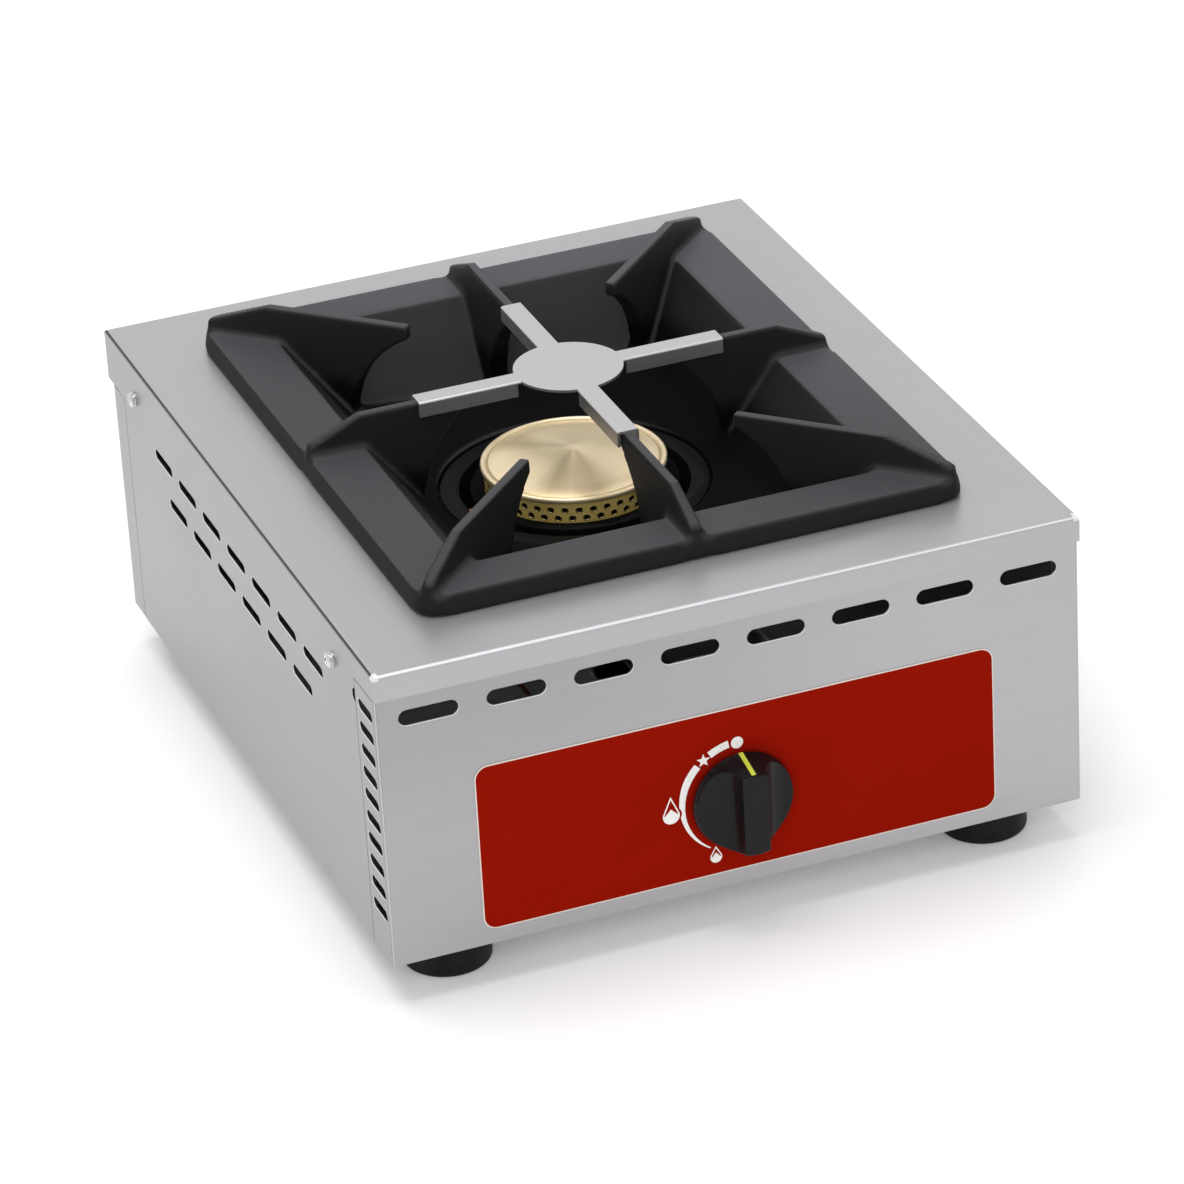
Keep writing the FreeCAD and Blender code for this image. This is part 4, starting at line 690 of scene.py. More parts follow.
# The burner lies below the shade levels, so all of it takes the painted shade.
BURNER_IRON = CastIron("sandy_casting", "cast_iron", roughness=0.5, grain_mm=1.4)
BOWL_ENAMEL = Speckled(
    "fired_enamel", "black_enamel", ((0.0045, 0.0045, 0.0048, 1.0), (0.016, 0.016, 0.017, 1.0)),
    (900.0, 2.0, 0.5), (0.66, 0.74), 0.46, 0.16, gloss=1.14, grain=(220.0, 1.0, 0.5), relief=(0.15, 0.10),
    grain_in_gloss=True)
CAP_BRASS = SpunBrass("spun_brass", "burner_brass")
CROWN_BRASS = PortedBrass("ported_brass", "burner_brass")
RIM_BRASS = MachinedMetal(
    "countersunk_brass", "burner_brass", ((0.7, 0.54, 0.22, 1.0), (0.86, 0.72, 0.36, 1.0)))
FITTING_BRASS = MachinedMetal("fitting_brass", "brass", ((0.42, 0.30, 0.12, 1.0), (0.62, 0.46, 0.2, 1.0)))
PIPE_METAL = MachinedMetal(
    "drawn_pipe", "pipe", ((0.44, 0.44, 0.46, 1.0), (0.60, 0.60, 0.62, 1.0)), roughness=0.34)
COPPER = MachinedMetal(
    "drawn_copper", "copper", ((0.34, 0.15, 0.08, 1.0), (0.58, 0.26, 0.14, 1.0)), roughness=0.34)
TURNED_STEEL = MachinedMetal("turned_steel", "steel", ((0.36, 0.36, 0.37, 1.0), (0.50, 0.50, 0.51, 1.0)))
SCREW_STEEL = MachinedMetal(
    "bright_screw", "screw_steel", ((0.50, 0.50, 0.51, 1.0), (0.78, 0.78, 0.79, 1.0)), roughness=0.2)
ZINC = ZincSheet("zinc_sheet", "zinc_sheet")
LABEL_PRINT = PrintedPlate("printed_red", "label_red")
DIAL_INK = Speckled(
    "printed_white", "label_red", ((0.80, 0.78, 0.76, 1.0), (0.90, 0.89, 0.87, 1.0)), (800.0, 2.0, 0.5),
    (0.3, 0.5), 0.45, 0.1, shine=0.1)
KNOB_PLASTIC = MouldedPlastic(
    "moulded_black", "knob_black", ((0.0046, 0.0046, 0.0052, 1.0), (0.0062, 0.0062, 0.0069, 1.0)),
    roughness=0.27)
POINTER_PLASTIC = MouldedPlastic(
    "inlaid_yellow", "pointer_yellow", ((0.58, 0.64, 0.055, 1.0), (0.66, 0.72, 0.09, 1.0)), roughness=0.35)
FOOT_RUBBER = Speckled(
    "moulded_rubber", "foot_rubber", ((0.0055, 0.0055, 0.006, 1.0), (0.011, 0.011, 0.0115, 1.0)),
    (90.0, 4.0, 0.6), (0.35, 0.75), 0.50, 0.2, gloss=1.25, grain=(1200.0, 2.0, 0.5), relief=(0.15, 0.08))
FLOOR_WHITE = PaleFloor("pale_floor", "")


# Modelling helpers


def activate(piece: Piece, *others: Piece) -> None:
    """Selects pieces alone and makes the first the active one."""
    bpy.ops.object.select_all(action="DESELECT")
    for one in (piece, *others):
        one.select_set(True)
    bpy.context.view_layer.objects.active = piece


@contextmanager
def editing(piece: Piece) -> Iterator[bmesh.types.BMesh]:
    """Edit mode on one piece, with all of it selected.

    Args:
        piece: the piece to edit.

    Yields:
        Its mesh in edit mode, for choosing edges.
    """
    activate(piece)
    bpy.ops.object.mode_set(mode="EDIT")
    bpy.ops.mesh.select_all(action="SELECT")
    yield bmesh.from_edit_mesh(piece.data)
    bpy.ops.object.mode_set(mode="OBJECT")


def named(name: str) -> Piece:
    """Names the piece that an operator has just added or joined."""
    piece = bpy.context.object
    piece.name = name
    piece.data.name = name
    return piece


def joined(pieces: Sequence[Piece], name: str) -> Piece:
    """Several pieces as one, with a new name."""
    activate(*pieces)
    if len(pieces) > 1:
        bpy.ops.object.join()
    return named(name)


def finish_with(piece: Piece, kind: str, **settings: Any) -> None:
    """Adds a modifier to a piece and applies it.

    Args:
        piece: the piece to change.
        kind: the modifier's type.
        settings: its properties.
    """
    activate(piece)
    modifier = piece.modifiers.new(kind.lower(), kind)
    for key, setting in settings.items():
        setattr(modifier, key, setting)
    bpy.ops.object.modifier_apply(modifier=modifier.name)


def level_faces(piece: Piece) -> None:
    """Lets the large faces of a piece keep their own direction beside their rounded edges."""
    finish_with(piece, "WEIGHTED_NORMAL", mode="FACE_AREA", weight=100, keep_sharp=True)


def smooth(piece: Piece, degrees: float) -> None:
    """Shades a piece smooth, apart from its sharp edges."""
    activate(piece)
    bpy.ops.object.shade_smooth_by_angle(angle=math.radians(degrees))


def recast(piece: Piece, cell_mm: float, steps: int) -> None:
    """Remeshes a piece in faces of one size, and rounds its corners by smoothing it a number of times."""
    finish_with(piece, "REMESH", mode="VOXEL", voxel_size=cell_mm * MM, adaptivity=0.0)
    finish_with(piece, "SMOOTH", factor=0.5, iterations=steps)


def copy_node(node: str, name: str) -> Piece:
    """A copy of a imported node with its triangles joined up.

    Args:
        node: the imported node.
        name: the new piece's name.

    Returns:
        The copy, with no material.
    """
    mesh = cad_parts[node].data.copy()
    mesh.name = name
    mesh.materials.clear()
    for attribute in ("custom_normal", "sharp_edge", "sharp_face"):
        if attribute in mesh.attributes:
            mesh.attributes.remove(mesh.attributes[attribute])
    piece = bpy.data.objects.new(name, mesh)
    bpy.context.scene.collection.objects.link(piece)
    with editing(piece):
        bpy.ops.mesh.remove_doubles(threshold=MERGE)
    return piece


def break_edges(piece: Piece, width_mm: float, degrees: float, segments: int = 2) -> None:
    """Rounds a piece's sharp edges a little, so that they catch the light.

    Args:
        piece: the piece to change.
        width_mm: how far each edge is cut back.
        degrees: the least turn of an edge that counts as sharp.
        segments: how many faces round it.
    """
    with editing(piece):
        bpy.ops.mesh.dissolve_limited(angle_limit=FLAT)
    finish_with(piece, "BEVEL", width=width_mm * MM, segments=segments, limit_method="ANGLE",
                angle_limit=math.radians(degrees), use_clamp_overlap=True, harden_normals=False)


def drop_slivers(piece: Piece) -> None:
    """Takes out the faces that have no area."""
    with editing(piece):
        bpy.ops.mesh.dissolve_degenerate(threshold=SLIVER)


def lathe(name: str, profile_mm: Sequence[Point], steps: int) -> Piece:
    """Turns a profile round the Z axis.

    Args:
        name: the new piece's name.
        profile_mm: radius and height of each point, from one end of the profile to the other.
        steps: faces in a full turn.

    Returns:
        A closed piece round the Z axis.
    """
    bpy.ops.object.select_all(action="DESELECT")
    bpy.ops.mesh.primitive_plane_add(size=MM)
    piece = named(name)
    with editing(piece):
        bpy.ops.mesh.merge(type="CENTER")
        last = (0.0, 0.0)
        for index, spot in enumerate(profile_mm):
            step = ((spot[0] - last[0]) * MM, 0.0, (spot[1] - last[1]) * MM)
            if index == 0:
                bpy.ops.transform.translate(value=step)
            else:
                bpy.ops.mesh.extrude_vertices_move(TRANSFORM_OT_translate={"value": step})
            last = spot
        bpy.ops.mesh.select_all(action="SELECT")
        bpy.ops.mesh.spin(steps=steps, angle=math.tau, center=(0, 0, 0), axis=(0, 0, 1))
        bpy.ops.mesh.select_all(action="SELECT")
        bpy.ops.mesh.remove_doubles(threshold=MERGE)
        bpy.ops.mesh.normals_make_consistent(inside=False)
    return piece


def put(piece: Piece, place: Matrix) -> Piece:
    """Moves a piece's mesh to a place and leaves its object at the origin."""
    piece.matrix_world = place
    activate(piece)
    bpy.ops.object.transform_apply(location=True, rotation=True, scale=True)
    return piece


def copies(model: Piece, name: str, places: Sequence[Matrix]) -> Piece:
    """One piece made of copies of a model, which is used up.

    Args:
        model: what is repeated, modelled at the origin.
        name: the new piece's name.
        places: where each copy goes.

    Returns:
        The copies in one mesh.
    """
    made = []
    for place in places:
        one = bpy.data.objects.new(name, model.data.copy())
        bpy.context.scene.collection.objects.link(one)
        made.append(put(one, place))
    bpy.data.objects.remove(model)
    return joined(made, name)


def adopt(piece: Piece, body: str, finish: Finish, *nodes: str) -> None:
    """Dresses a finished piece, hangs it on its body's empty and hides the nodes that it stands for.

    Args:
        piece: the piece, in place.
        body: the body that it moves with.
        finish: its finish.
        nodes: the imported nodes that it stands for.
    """
    piece.data.materials.clear()
    piece.data.materials.append(finish.material())
    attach(piece, body)
    if nodes:
        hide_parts(*nodes)
    LOG.info("%s: %d faces on %s", piece.name, len(piece.data.polygons), body)


@dataclass(frozen=True)
class Eased:
    """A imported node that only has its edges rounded: how far, from which turn on, and in how many faces."""

    node: str
    name: str
    body: str
    finish: Finish
    edge_mm: float
    edge_degrees: float
    segments: int = 2
    smooth_degrees: float = 40.0

    def build(self) -> None:
        """Copies, rounds and hands over the piece."""
        piece = copy_node(self.node, self.name)
        break_edges(piece, self.edge_mm, self.edge_degrees, self.segments)
        smooth(piece, self.smooth_degrees)
        adopt(piece, self.body, self.finish, self.node)


# Sub-assemblies


@dataclass
class Casing:
    """The folded cover, the front and rear panels, and the plated sheet inside."""

    edge_mm: float = 0.4
    edge_degrees: float = 50.0
    smooth_degrees: float = 30.0
    slot_edge_mm: float = 0.38
    slot_edge_degrees: float = 70.0
    longest_slot_edge_mm: float = 45.0
    skin_mm: float = 0.2
    seam_mm: Point = (197.0, 204.0)
    rim_foot_mm: float = 184.0
    sheets: dict[str, str] = field(default_factory=lambda: {
        "hob_cover": "cover_sheet", "front_panel": "front_sheet", "rear_panel": "rear_sheet"})
    panels: tuple[str, ...] = ("front_panel", "rear_panel")
    plated: tuple[str, ...] = ("base_plate", "rail_front", "rail_rear", "burner_bracket", "valve_bracket")

    def is_slot_edge(self, edge: bmesh.types.BMEdge, reach_x: float, reach_y: float) -> bool:
        """Whether an edge runs round the outer side of a slot.

        Args:
            edge: an edge of the sheet.
            reach_x: how far the sheet's outer side lies from the middle, sideways.
            reach_y: the same, to the front or back.

        Returns:
            True for a short hard edge on the sheet's outer side, below the rims and off the seam.
        """
        if not edge.is_manifold or edge.calc_length() > self.longest_slot_edge_mm * MM:
            return False
        middle = (edge.verts[0].co + edge.verts[1].co) / 2
        if middle.z > self.rim_foot_mm * MM or edge.calc_face_angle() < math.radians(self.slot_edge_degrees):
            return False
        if self.seam_mm[0] * MM < abs(middle.y) < self.seam_mm[1] * MM:
            return False
        near = self.skin_mm * MM
        return any(face.normal.x * middle.x > reach_x - near or face.normal.y * middle.y > reach_y - near
                   for face in edge.link_faces)

    def ease_slots(self, sheet: Piece) -> None:
        """Chamfers the outer edges of a sheet's slots."""
        reach_x, reach_y = (max(abs(vert.co[axis]) for vert in sheet.data.vertices) for axis in (0, 1))
        with editing(sheet) as mesh:
            bpy.ops.mesh.dissolve_limited(angle_limit=FLAT)
            bpy.ops.mesh.select_all(action="DESELECT")
            bpy.ops.mesh.select_mode(type="EDGE")
            for edge in mesh.edges:
                if self.is_slot_edge(edge, reach_x, reach_y):
                    edge.select_set(True)
            bpy.ops.mesh.bevel(offset=self.slot_edge_mm * MM, segments=1, affect="EDGES", clamp_overlap=False)
            bpy.ops.mesh.select_mode(type="VERT")

    def build(self) -> None:
        """Sheets with broken edges, and plated carriers."""
        for node, name in self.sheets.items():
            sheet = copy_node(node, name)
            self.ease_slots(sheet)
            break_edges(sheet, self.edge_mm, self.edge_degrees)
            if node in self.panels:
                drop_slivers(sheet)
            smooth(sheet, self.smooth_degrees)
            level_faces(sheet)
            adopt(sheet, "stove", STEEL, node)
        ZINC.dress_nodes(*self.plated)


@dataclass
class PanSupport:
    """The cast pan support: its hard corners become the rounds and coves of a casting."""

    cell_mm: float = 1.2
    round_steps: int = 2
    hollow_degrees: float = 22.0
    hollow_step_mm: float = 2.0
    cove_reach_mm: float = 8.0
    cove_steps: int = 40
    most_triangles: int = 180_000

    def hollow_points(self, piece: Piece) -> KDTree:
        """Points along the inside corners of a piece.

        Args:
            piece: the piece with its hard corners.

        Returns:
            A search tree of the points.
        """
        points = []
        with editing(piece) as mesh:
            for edge in mesh.edges:
                if edge.is_manifold and edge.calc_face_angle_signed() < -math.radians(self.hollow_degrees):
                    start, end = (vert.co.copy() for vert in edge.verts)
                    count = max(1, int((end - start).length / (self.hollow_step_mm * MM)))
                    points += [start.lerp(end, step / count) for step in range(count + 1)]
        tree = KDTree(len(points))
        for index, point in enumerate(points):
            tree.insert(point, index)
        tree.balance()
        return tree

    def build(self) -> None:
        """Remeshes the casting finely, rounds it, and fills its inside corners."""
        piece = copy_node("grate", "pan_support_casting")
        tree = self.hollow_points(piece)
        recast(piece, self.cell_mm, self.round_steps)
        coves = piece.vertex_groups.new(name="coves")
        reach = self.cove_reach_mm * MM
        for vert in piece.data.vertices:
            gap = tree.find(vert.co)[2] / reach
            if gap < 1:
                coves.add([vert.index], 1 - gap * gap, "REPLACE")
        finish_with(piece, "SMOOTH", factor=0.5, iterations=self.cove_steps, vertex_group="coves")
        piece.vertex_groups.clear()
        triangles = 2 * len(piece.data.polygons)
        if triangles > self.most_triangles:
            finish_with(piece, "DECIMATE", ratio=self.most_triangles / triangles)
        activate(piece)
        bpy.ops.object.shade_smooth()
        adopt(piece, "pan_support", IRON, "grate")


@dataclass
class SmallPotCross:
    """The sheet cross that narrows the pan support for small pots."""

    edge_mm: float = 0.3
    edge_degrees: float = 40.0
    smooth_degrees: float = 30.0

    def build(self) -> None:
        """The cross with its cut edges broken."""
        piece = copy_node("reducer_cross", "small_pot_cross_sheet")
        break_edges(piece, self.edge_mm, self.edge_degrees)
        smooth(piece, self.smooth_degrees)
        level_faces(piece)
        adopt(piece, "small_pot_cross", CROSS_STEEL, "reducer_cross")


@dataclass
class Burner:
    """Brass cap and flame ring on the cast burner, in its enamelled bowl."""

    apex_mm: float = 182.5
    wall_mm: float = 3.0
    dome_radii_mm: tuple[float, ...] = (0.0, 1.0, 2.0, 3.5, 6.0, 12.0, 24.0, 36.0, 47.6)
    dome_edge_mm: float = 175.1
    apex_round_mm: float = 2.0
    lip_mm: tuple[Point, ...] = (
        (48.4, 174.6), (49.0, 174.7), (49.5, 175.3), (50.2, 175.75), (51.0, 175.8), (51.8, 175.5),
        (52.3, 174.9), (52.4, 174.1), (52.3, 173.3), (51.8, 172.7), (51.1, 172.5))
    seat_mm: float = 172.5
    spigot_mm: Point = (47.1, 44.7)
    spigot_foot_mm: float = 168.5
    cap_steps: int = 160
    smooth_degrees: float = 40.0
    ring_radius_mm: float = 50.5
    port_rim_mm: tuple[Point, ...] = ((1.45, -0.12), (1.55, 0.06), (1.95, 0.08), (2.15, -0.08), (1.45, -0.12))
    port_rim_steps: int = 14
    port_rim_degrees: float = 60.0
    port_rows_mm: Point = (167.9, 163.1)
    port_count: int = 40
    castings: tuple[Eased, ...] = (
        Eased("burner_body", "cast_cup", "stove", BURNER_IRON, 0.4, 45.0),
        Eased("drip_bowl", "spill_bowl", "stove", BOWL_ENAMEL, 0.4, 45.0))

    def cap_profile(self) -> list[Point]:
        """Radius and height of the cap's section, from the apex round to its underside."""
        slope = (self.apex_mm - self.dome_edge_mm) / self.dome_radii_mm[-1]
        dome = [(radius, self.apex_mm - slope * math.hypot(radius, self.apex_round_mm))
                for radius in self.dome_radii_mm]
        outer, inner = self.spigot_mm
        under = [(outer, self.seat_mm), (outer, self.spigot_foot_mm), (inner, self.spigot_foot_mm),
                 (inner, self.seat_mm), (0.0, self.apex_mm - self.wall_mm)]
        return [*dome, *self.lip_mm, *under]

    def port_rims(self) -> Piece:
        """The bright countersunk edge round each flame port."""
        rim = lathe("port_rim", self.port_rim_mm, self.port_rim_steps)
        smooth(rim, self.port_rim_degrees)
        step = math.tau / self.port_count
        outwards = Matrix.Rotation(math.pi / 2, 4, "Y")
        places = []
        for row, level in enumerate(self.port_rows_mm):
            for index in range(self.port_count):
                turn = Matrix.Rotation((index + row / 2) * step, 4, "Z")
                places.append(turn @ Matrix.Translation((self.ring_radius_mm * MM, 0, level * MM)) @ outwards)
        return copies(rim, "port_rims", places)

    def build(self) -> None:
        """Turned cap, drilled ring, cast cup and bowl."""
        cap = lathe("spun_cap", self.cap_profile(), self.cap_steps)
        smooth(cap, self.smooth_degrees)
        adopt(cap, "cap", CAP_BRASS, "burner_cap")
        crown = copy_node("burner_crown", "flame_ring")
        smooth(crown, self.smooth_degrees)
        adopt(crown, "crown", CROWN_BRASS, "burner_crown")
        adopt(self.port_rims(), "crown", RIM_BRASS)
        for casting in self.castings:
            casting.build()


@dataclass
class ControlPanel:
    """Red plate with its white dial, and the black knob with its bright pointer.

    The dial's points are measured from the knob's axis, and its angles in degrees from the top, to the left.
    """

    axis_mm: Point = (0.0, 77.5)
    plate_front_mm: float = -232.8
    ink_mm: float = 0.06
    dot_mm: Triple = (-0.8, 33.5, 3.5)
    dot_steps: int = 40
    star_mm: Triple = (-20.3, 27.3, 4.1)
    star_points: int = 5
    star_waist: float = 0.42
    band_mm: Point = (32.0, 36.4)
    band_tip_mm: float = 0.7
    least_band_steps: int = 8
    near_band: Point = (9.5, 29.5)
    far_band: Point = (44.3, 145.0)
    thin_from: float = 62.0
    hollow_mm: Triple = (33.9, 0.05, 92.0)
    flames_mm: tuple[tuple[float, ...], ...] = (
        (-40.0, 10.2, 9.6, 16.6, 0.75), (-15.6, -26.2, 6.8, 10.2, 0.65))
    flame_steps: int = 20
    flame_fill: Point = (-0.12, 0.85)
    knob_cell_mm: float = 0.45
    knob_round_steps: int = 3
    plate: Eased = Eased("control_label", "red_plate", "stove", LABEL_PRINT, 0.12, 60.0)
    pointer: Eased = Eased("knob_pointer", "pointer_line", "control", POINTER_PLASTIC, 0.15, 50.0)

    def band_outer(self, angle: float) -> float:
        """Outer radius of the dial's band, which thins out beside the large drop and towards its end."""
        inner, outer = self.band_mm
        along = max(0.0, (angle - self.thin_from) / (self.far_band[1] - self.thin_from))
        radius, growth, middle = self.hollow_mm
        taper = outer - (outer - inner - self.band_tip_mm) * along
        return min(taper, radius + growth * (angle - middle) ** 2)

    def band(self, start: float, end: float) -> list[Point]:
        """Outline of a stretch of the band.

        Args:
            start: the angle where it begins.
            end: the angle where it stops.

        Returns:
            Its outline.
        """
        count = max(self.least_band_steps, int(end - start))
        angles = [start + (end - start) * step / count for step in range(count + 1)]
        rays = [(self.band_outer(angle), angle) for angle in angles]
        rays += [(self.band_mm[0], angle) for angle in reversed(angles)]
        return [(-radius * math.sin(math.radians(angle)), radius * math.cos(math.radians(angle)))
                for radius, angle in rays]

    def star(self) -> list[Point]:
        """Outline of the star."""
        x, y, radius = self.star_mm
        points = []
        for step in range(2 * self.star_points):
            reach = radius if step % 2 == 0 else radius * self.star_waist
            turn = math.pi * step / self.star_points
            points.append((x + reach * math.sin(turn), y + reach * math.cos(turn)))
        return points

    def flame(self, x: float, top: float, width: float, height: float, line: float) -> list[list[Point]]:
        """Loops of one flame drop: a line round it, and a filled lower half with a peak.

        Args:
            x: where its middle lies.
            top: where its tip lies.
            width: its full width.
            height: its full height.
            line: the width of the line.

        Returns:
            The outer loop and the bare loop inside it.
        """
        radius = width / 2
        middle = top - height + radius
        lean = math.asin(radius / (top - middle))

        def drop(size: float) -> list[Point]:
            """A drop of this bottom radius about the same centre."""
            count = self.flame_steps
            turns = [lean - (math.pi + 2 * lean) * step / count for step in range(count + 1)]
            return [(x, middle + size / math.sin(lean))] + [
                (x + size * math.cos(turn), middle + size * math.sin(turn)) for turn in turns]

        low, peak = (middle + share * radius for share in self.flame_fill)
        half = [spot for spot in drop(radius - line) if spot[1] > low and spot[0] >= x]
        mirrored = [(2 * x - across, up) for across, up in reversed(half[1:])]
        return [drop(radius), half + [(x, peak)] + mirrored]

    def loops(self) -> list[list[list[Point]]]:
        """Every dial mark, each as its outer loop and any loop left bare inside it."""
        x, y, radius = self.dot_mm
        turns = [math.tau * step / self.dot_steps for step in range(self.dot_steps)]
        dot = [(x + radius * math.sin(turn), y + radius * math.cos(turn)) for turn in turns]
        plain = [[dot], [self.band(*self.near_band)], [self.star()], [self.band(*self.far_band)]]
        return plain + [self.flame(*sizes) for sizes in self.flames_mm]

    def mark(self, name: str, loops: list[list[Point]]) -> Piece:
        """One printed mark.

        Args:
            name: the new piece's name.
            loops: its outer loop, and any loop left bare inside it.

        Returns:
            A thin flat piece on the plate.
        """
        front = (self.plate_front_mm - self.ink_mm) * MM
        outlines = []
        for loop in loops:
            bpy.ops.object.select_all(action="DESELECT")
            bpy.ops.mesh.primitive_circle_add(vertices=len(loop), radius=MM, fill_type="NOTHING")
            outlines.append(named(name))
            for vert, (x, z) in zip(outlines[-1].data.vertices, loop):
                vert.co = ((self.axis_mm[0] + x) * MM, front, (self.axis_mm[1] + z) * MM)
        made = joined(outlines, name)
        with editing(made):
            bpy.ops.mesh.fill(use_beauty=True)
            bpy.ops.mesh.select_all(action="SELECT")
            bpy.ops.mesh.extrude_region_move(TRANSFORM_OT_translate={"value": (0, self.ink_mm * MM, 0)})
            bpy.ops.mesh.select_all(action="SELECT")
            bpy.ops.mesh.normals_make_consistent(inside=False)
        return made

    def build(self) -> None:
        """Plate, dial marks, knob and pointer."""
        self.plate.build()
        marks = [self.mark(f"dial_mark_{index}", loops) for index, loops in enumerate(self.loops())]
        adopt(joined(marks, "dial_print"), "stove", DIAL_INK)
        knob = copy_node("knob", "grip_knob")
        recast(knob, self.knob_cell_mm, self.knob_round_steps)
        activate(knob)
        bpy.ops.object.shade_smooth()
        adopt(knob, "control", KNOB_PLASTIC, "knob")
        self.pointer.build()


@dataclass
class Feet:
    """Four moulded rubber feet."""

    names: tuple[str, ...] = ("foot_front_left", "foot_front_right", "foot_rear_left", "foot_rear_right")
    edge_mm: float = 0.8
    edge_degrees: float = 50.0
    segments: int = 3

    def build(self) -> None:
        """Feet with softened edges."""
        for node in self.names:
            Eased(node, f"rubber_{node}", "stove", FOOT_RUBBER,
                  self.edge_mm, self.edge_degrees, self.segments).build()


@dataclass
class Fasteners:
    """Pan-head screws with a cross recess, and the nuts and screws inside.

    The head's outline is in shares of its radius and height. The stops set each screw's turn, in radians at
    the sides and in radians for each metre at the rear.
    """

    head: tuple[Point, ...] = (
        (0, 1.0), (0.35, 0.99), (0.62, 0.90), (0.82, 0.70), (0.95, 0.42), (1.0, 0.15), (0.98, 0.0))
    head_radius_mm: float = 4.4
    head_steps: int = 40
    side_height_mm: float = 3.6
    side_length_mm: float = 8.9
    side_washer_mm: tuple[Point, ...] = ((2.9, 1.7), (2.9, 0.9), (4.1, 0.9), (4.4, 0.6), (4.4, 0.0))
    rear_height_mm: float = 2.4
    rear_length_mm: float = 5.4
    shank_radius_mm: float = 2.0
    recess_mm: Triple = (5.4, 1.4, 1.9)
    recess_taper: Point = (0.55, 0.8)
    side_stop: float = 0.5
    rear_stop: float = 9.0
    smooth_degrees: float = 30.0
    hidden: tuple[str, ...] = ("cover_nuts", "foot_screws", "foot_nuts", "bracket_screws", "bonnet_screws",
                               "valve_screws", "shutter_screw")

    def screw(self, length_mm: float, top: float, washer: Sequence[Point] = ()) -> Piece:
        """One screw that stands on the XY plane, head up.

        Args:
            length_mm: the shank's length under the head.
            top: the height of the head, with any washer.
            washer: radius and height of each point round the washer's section, from its top to its foot.

        Returns:
            The screw at the origin.
        """
        edge, shank = self.head_radius_mm, self.shank_radius_mm
        foot = washer[0][1] if washer else 0.0
        head = [(edge * out, foot + (top - foot) * up) for out, up in self.head]
        profile = [*head, *washer, (shank, 0), (shank, -length_mm), (0, -length_mm)]
        piece = lathe("pan_screw", profile, self.head_steps)
        reach, width, depth = (size * MM for size in self.recess_mm)
        along, across = self.recess_taper
        for turn in (0, 90):
            bpy.ops.object.select_all(action="DESELECT")
            bpy.ops.mesh.primitive_cube_add(size=1)
            cutter = named("recess")
            with editing(cutter) as mesh:
                for vert in mesh.verts:
                    x, y, z = vert.co.x * reach, vert.co.y * width, vert.co.z
                    foot_corner = (x * along, y * across, top * MM - depth)
                    vert.co = foot_corner if z < 0 else (x, y, (top + 1) * MM)
            put(cutter, Matrix.Rotation(math.radians(turn), 4, "Z"))
            finish_with(piece, "BOOLEAN", operation="DIFFERENCE", object=cutter, solver="EXACT")
            bpy.data.objects.remove(cutter)
        return piece

    def side_places(self) -> list[Matrix]:
        """Where the side screws sit, each stopped at its own turn."""
        low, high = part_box("cover_screws")
        edge, head = self.head_radius_mm * MM, self.side_height_mm * MM
        places = []
        for index, y in enumerate((low.y + edge, high.y - edge)):
            for side, seat in ((1, high.x - head), (-1, low.x + head)):
                aim = Matrix.Rotation(side * math.pi / 2, 4, "Y")
                stop = Matrix.Rotation(self.side_stop + index + side, 4, "Z")
                places.append(Matrix.Translation((seat, y, (low.z + high.z) / 2)) @ aim @ stop)
        return places

    def rear_places(self) -> list[Matrix]:
        """Where the rear screws sit, each stopped at its own turn."""
        low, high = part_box("panel_screws")
        edge, head = self.head_radius_mm * MM, self.rear_height_mm * MM
        aim = Matrix.Rotation(-math.pi / 2, 4, "X")
        spread = (low.x + edge, (low.x + high.x) / 2, high.x - edge)
        level = (low.z + high.z) / 2
        return [Matrix.Translation((x, high.y - head, level)) @ aim
                @ Matrix.Rotation(x * self.rear_stop, 4, "Z") for x in spread]

    def build(self) -> None:
        """Side screws, rear screws and the hidden hardware."""
        side = self.screw(self.side_length_mm, self.side_height_mm, self.side_washer_mm)
        sides = copies(side, "side_screws", self.side_places())
        smooth(sides, self.smooth_degrees)
        adopt(sides, "stove", SCREW_STEEL, "cover_screws")
        rear = copies(self.screw(self.rear_length_mm, self.rear_height_mm), "rear_screws", self.rear_places())
        smooth(rear, self.smooth_degrees)
        adopt(rear, "stove", SCREW_STEEL, "panel_screws")
        SCREW_STEEL.dress_nodes(*self.hidden)


@dataclass
class GasWorks:
    """Tap, pipes, jet and flame safety: their solids stay as they are and take their finishes."""

    brass: tuple[str, ...] = (
        "valve_body", "valve_bonnet", "valve_plug", "injector", "injector_holder", "feed_nuts", "supply_nuts",
        "inlet_fitting", "inlet_locknut", "magnet_unit", "thermocouple_nut", "burner_nut")
    pipes: tuple[str, ...] = ("feed_pipe", "supply_pipe")
    copper: tuple[str, ...] = ("thermocouple", "thermocouple_lead")
    steel: tuple[str, ...] = ("valve_spindle", "spindle_spring", "air_shutter")

    def build(self) -> None:
        """Finishes on the solids."""
        FITTING_BRASS.dress_nodes(*self.brass)
        PIPE_METAL.dress_nodes(*self.pipes)
        COPPER.dress_nodes(*self.copper)
        TURNED_STEEL.dress_nodes(*self.steel)
        LOG.info("gas works dressed")


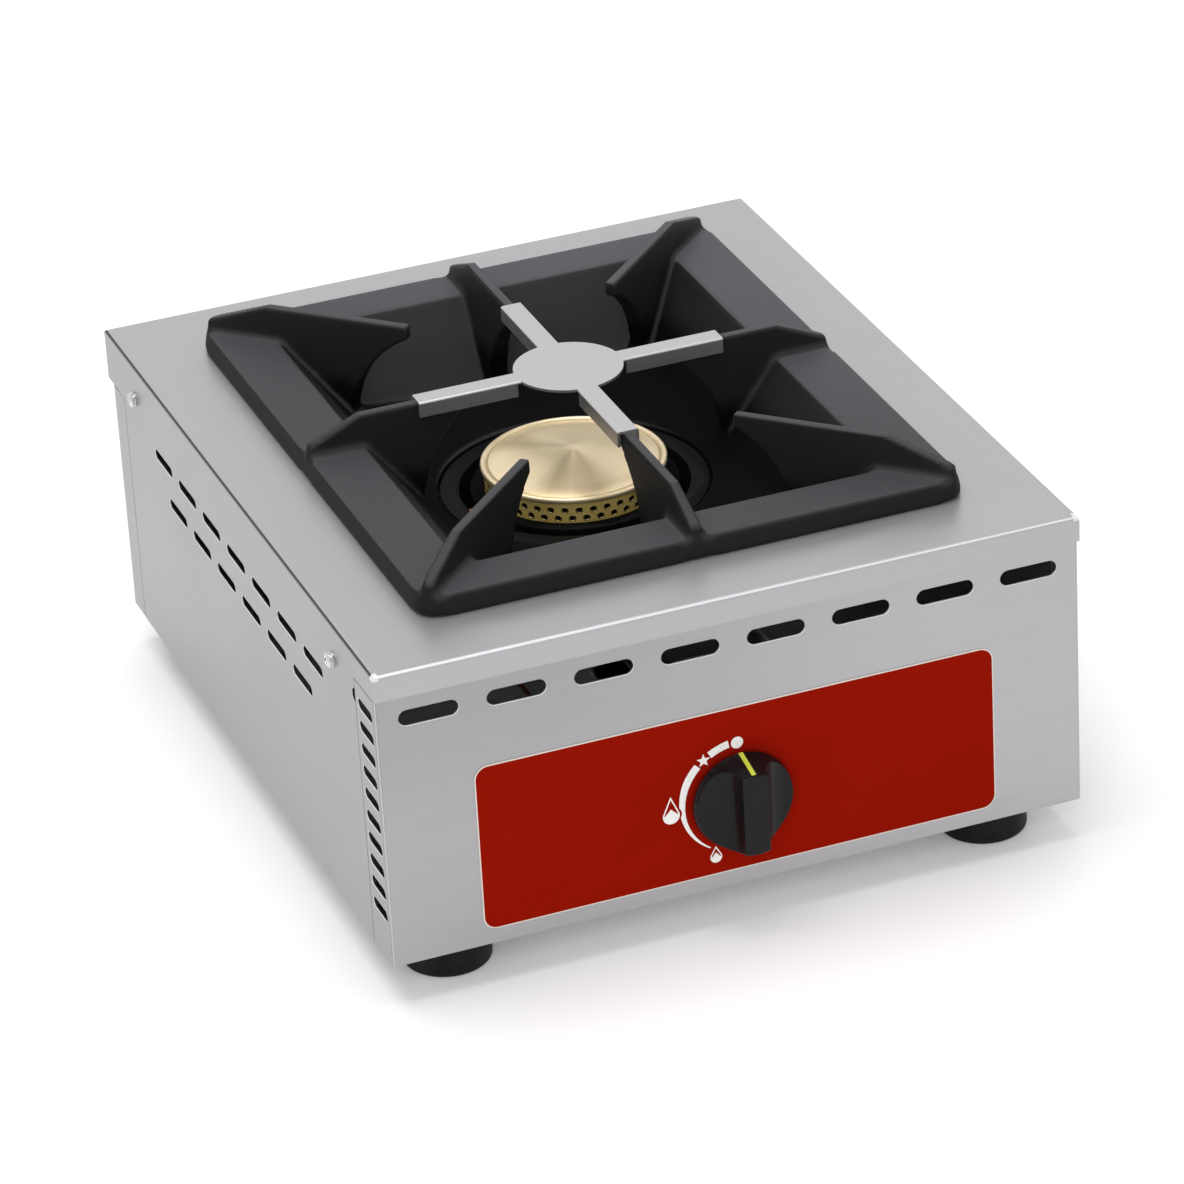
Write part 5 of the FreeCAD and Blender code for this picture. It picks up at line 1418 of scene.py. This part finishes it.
@dataclass(frozen=True)
class Softbox:
    """A square soft lamp: its place, the point that it looks at, its side and its power in watts."""

    name: str
    place: Triple
    aim: Triple
    size: float
    power: float
    mirrored: bool = False

    def build(self) -> None:
        """Hangs the lamp, and hides it from shiny surfaces unless it is mirrored."""
        light = bpy.data.lights.new(self.name, "AREA")
        light.shape = "SQUARE"
        light.size = self.size
        light.energy = self.power
        lamp = bpy.data.objects.new(self.name, light)
        lamp.location = self.place
        lamp.visible_glossy = self.mirrored
        lamp.rotation_euler = (Vector(self.aim) - Vector(self.place)).to_track_quat("-Z", "Y").to_euler()
        bpy.context.scene.collection.objects.link(lamp)


@dataclass
class Studio:
    """Pale floor, soft light and the camera at the photograph's view."""

    camera_place: Triple = (-0.97679, -2.73288, 1.62567)
    camera_turn: Triple = (62.07441623, 2.91024672, -21.32796698)
    lens_mm: float = 176.871
    sensor_mm: float = 36.0
    clip_end: float = 60.0
    floor_size: float = 14.0
    fill: float = 0.55
    lamps: tuple[Softbox, ...] = (
        Softbox("top_softbox", (-0.3, 0.1, 2.2), (0.0, 0.0, 0.15), 1.6, 30.0, mirrored=True),
        Softbox("front_softbox", (-1.1, -2.4, 1.7), (0.0, 0.0, 0.12), 1.4, 22.0),
        Softbox("rear_softbox", (1.3, 1.7, 1.1), (0.05, 0.0, 0.2), 1.2, 9.0))

    def floor(self) -> None:
        """A wide pale floor that shows the stove's shadow and reads as white beyond it."""
        bpy.ops.object.select_all(action="DESELECT")
        bpy.ops.mesh.primitive_plane_add(size=self.floor_size)
        floor = named("floor")
        floor.data.materials.append(FLOOR_WHITE.material())

    def sky(self) -> None:
        """A white surround that the camera and shiny metal see in full, and that lights the stove softly."""
        world = bpy.data.worlds.new("surround")
        bpy.context.scene.world = world
        bench = Bench(world, "Background")
        camera_ray = bench.node("ShaderNodeLightPath", output="Is Camera Ray")
        shiny = camera_ray.output("Is Glossy Ray") + camera_ray.output("Is Transmission Ray")
        seen = camera_ray.math("MINIMUM", camera_ray + shiny, 1.0)
        bench.set({"Color": WHITE, "Strength": seen * (1.0 - self.fill) + self.fill})

    def camera(self) -> None:
        """The photograph's view."""
        lens = bpy.data.cameras.new("camera")
        lens.lens = self.lens_mm
        lens.sensor_width = self.sensor_mm
        lens.clip_end = self.clip_end
        camera = bpy.data.objects.new("camera", lens)
        camera.location = self.camera_place
        camera.rotation_euler = [math.radians(angle) for angle in self.camera_turn]
        bpy.context.scene.collection.objects.link(camera)
        bpy.context.scene.camera = camera

    def build(self) -> None:
        """Floor, surround, lamps and camera."""
        self.floor()
        self.sky()
        for lamp in self.lamps:
            lamp.build()
        self.camera()
        bpy.context.scene.view_settings.view_transform = "Standard"
        LOG.info("studio set")


def main() -> None:
    """Builds every sub-assembly in order."""
    logging.basicConfig(level=logging.INFO, format="%(message)s")
    parts = (Studio(), Casing(), PanSupport(), SmallPotCross(), Burner(), ControlPanel(), Feet(), Fasteners(),
             GasWorks())
    for part in parts:
        LOG.info("%s", type(part).__name__)
        part.build()


if __name__ == "__main__":
    main()
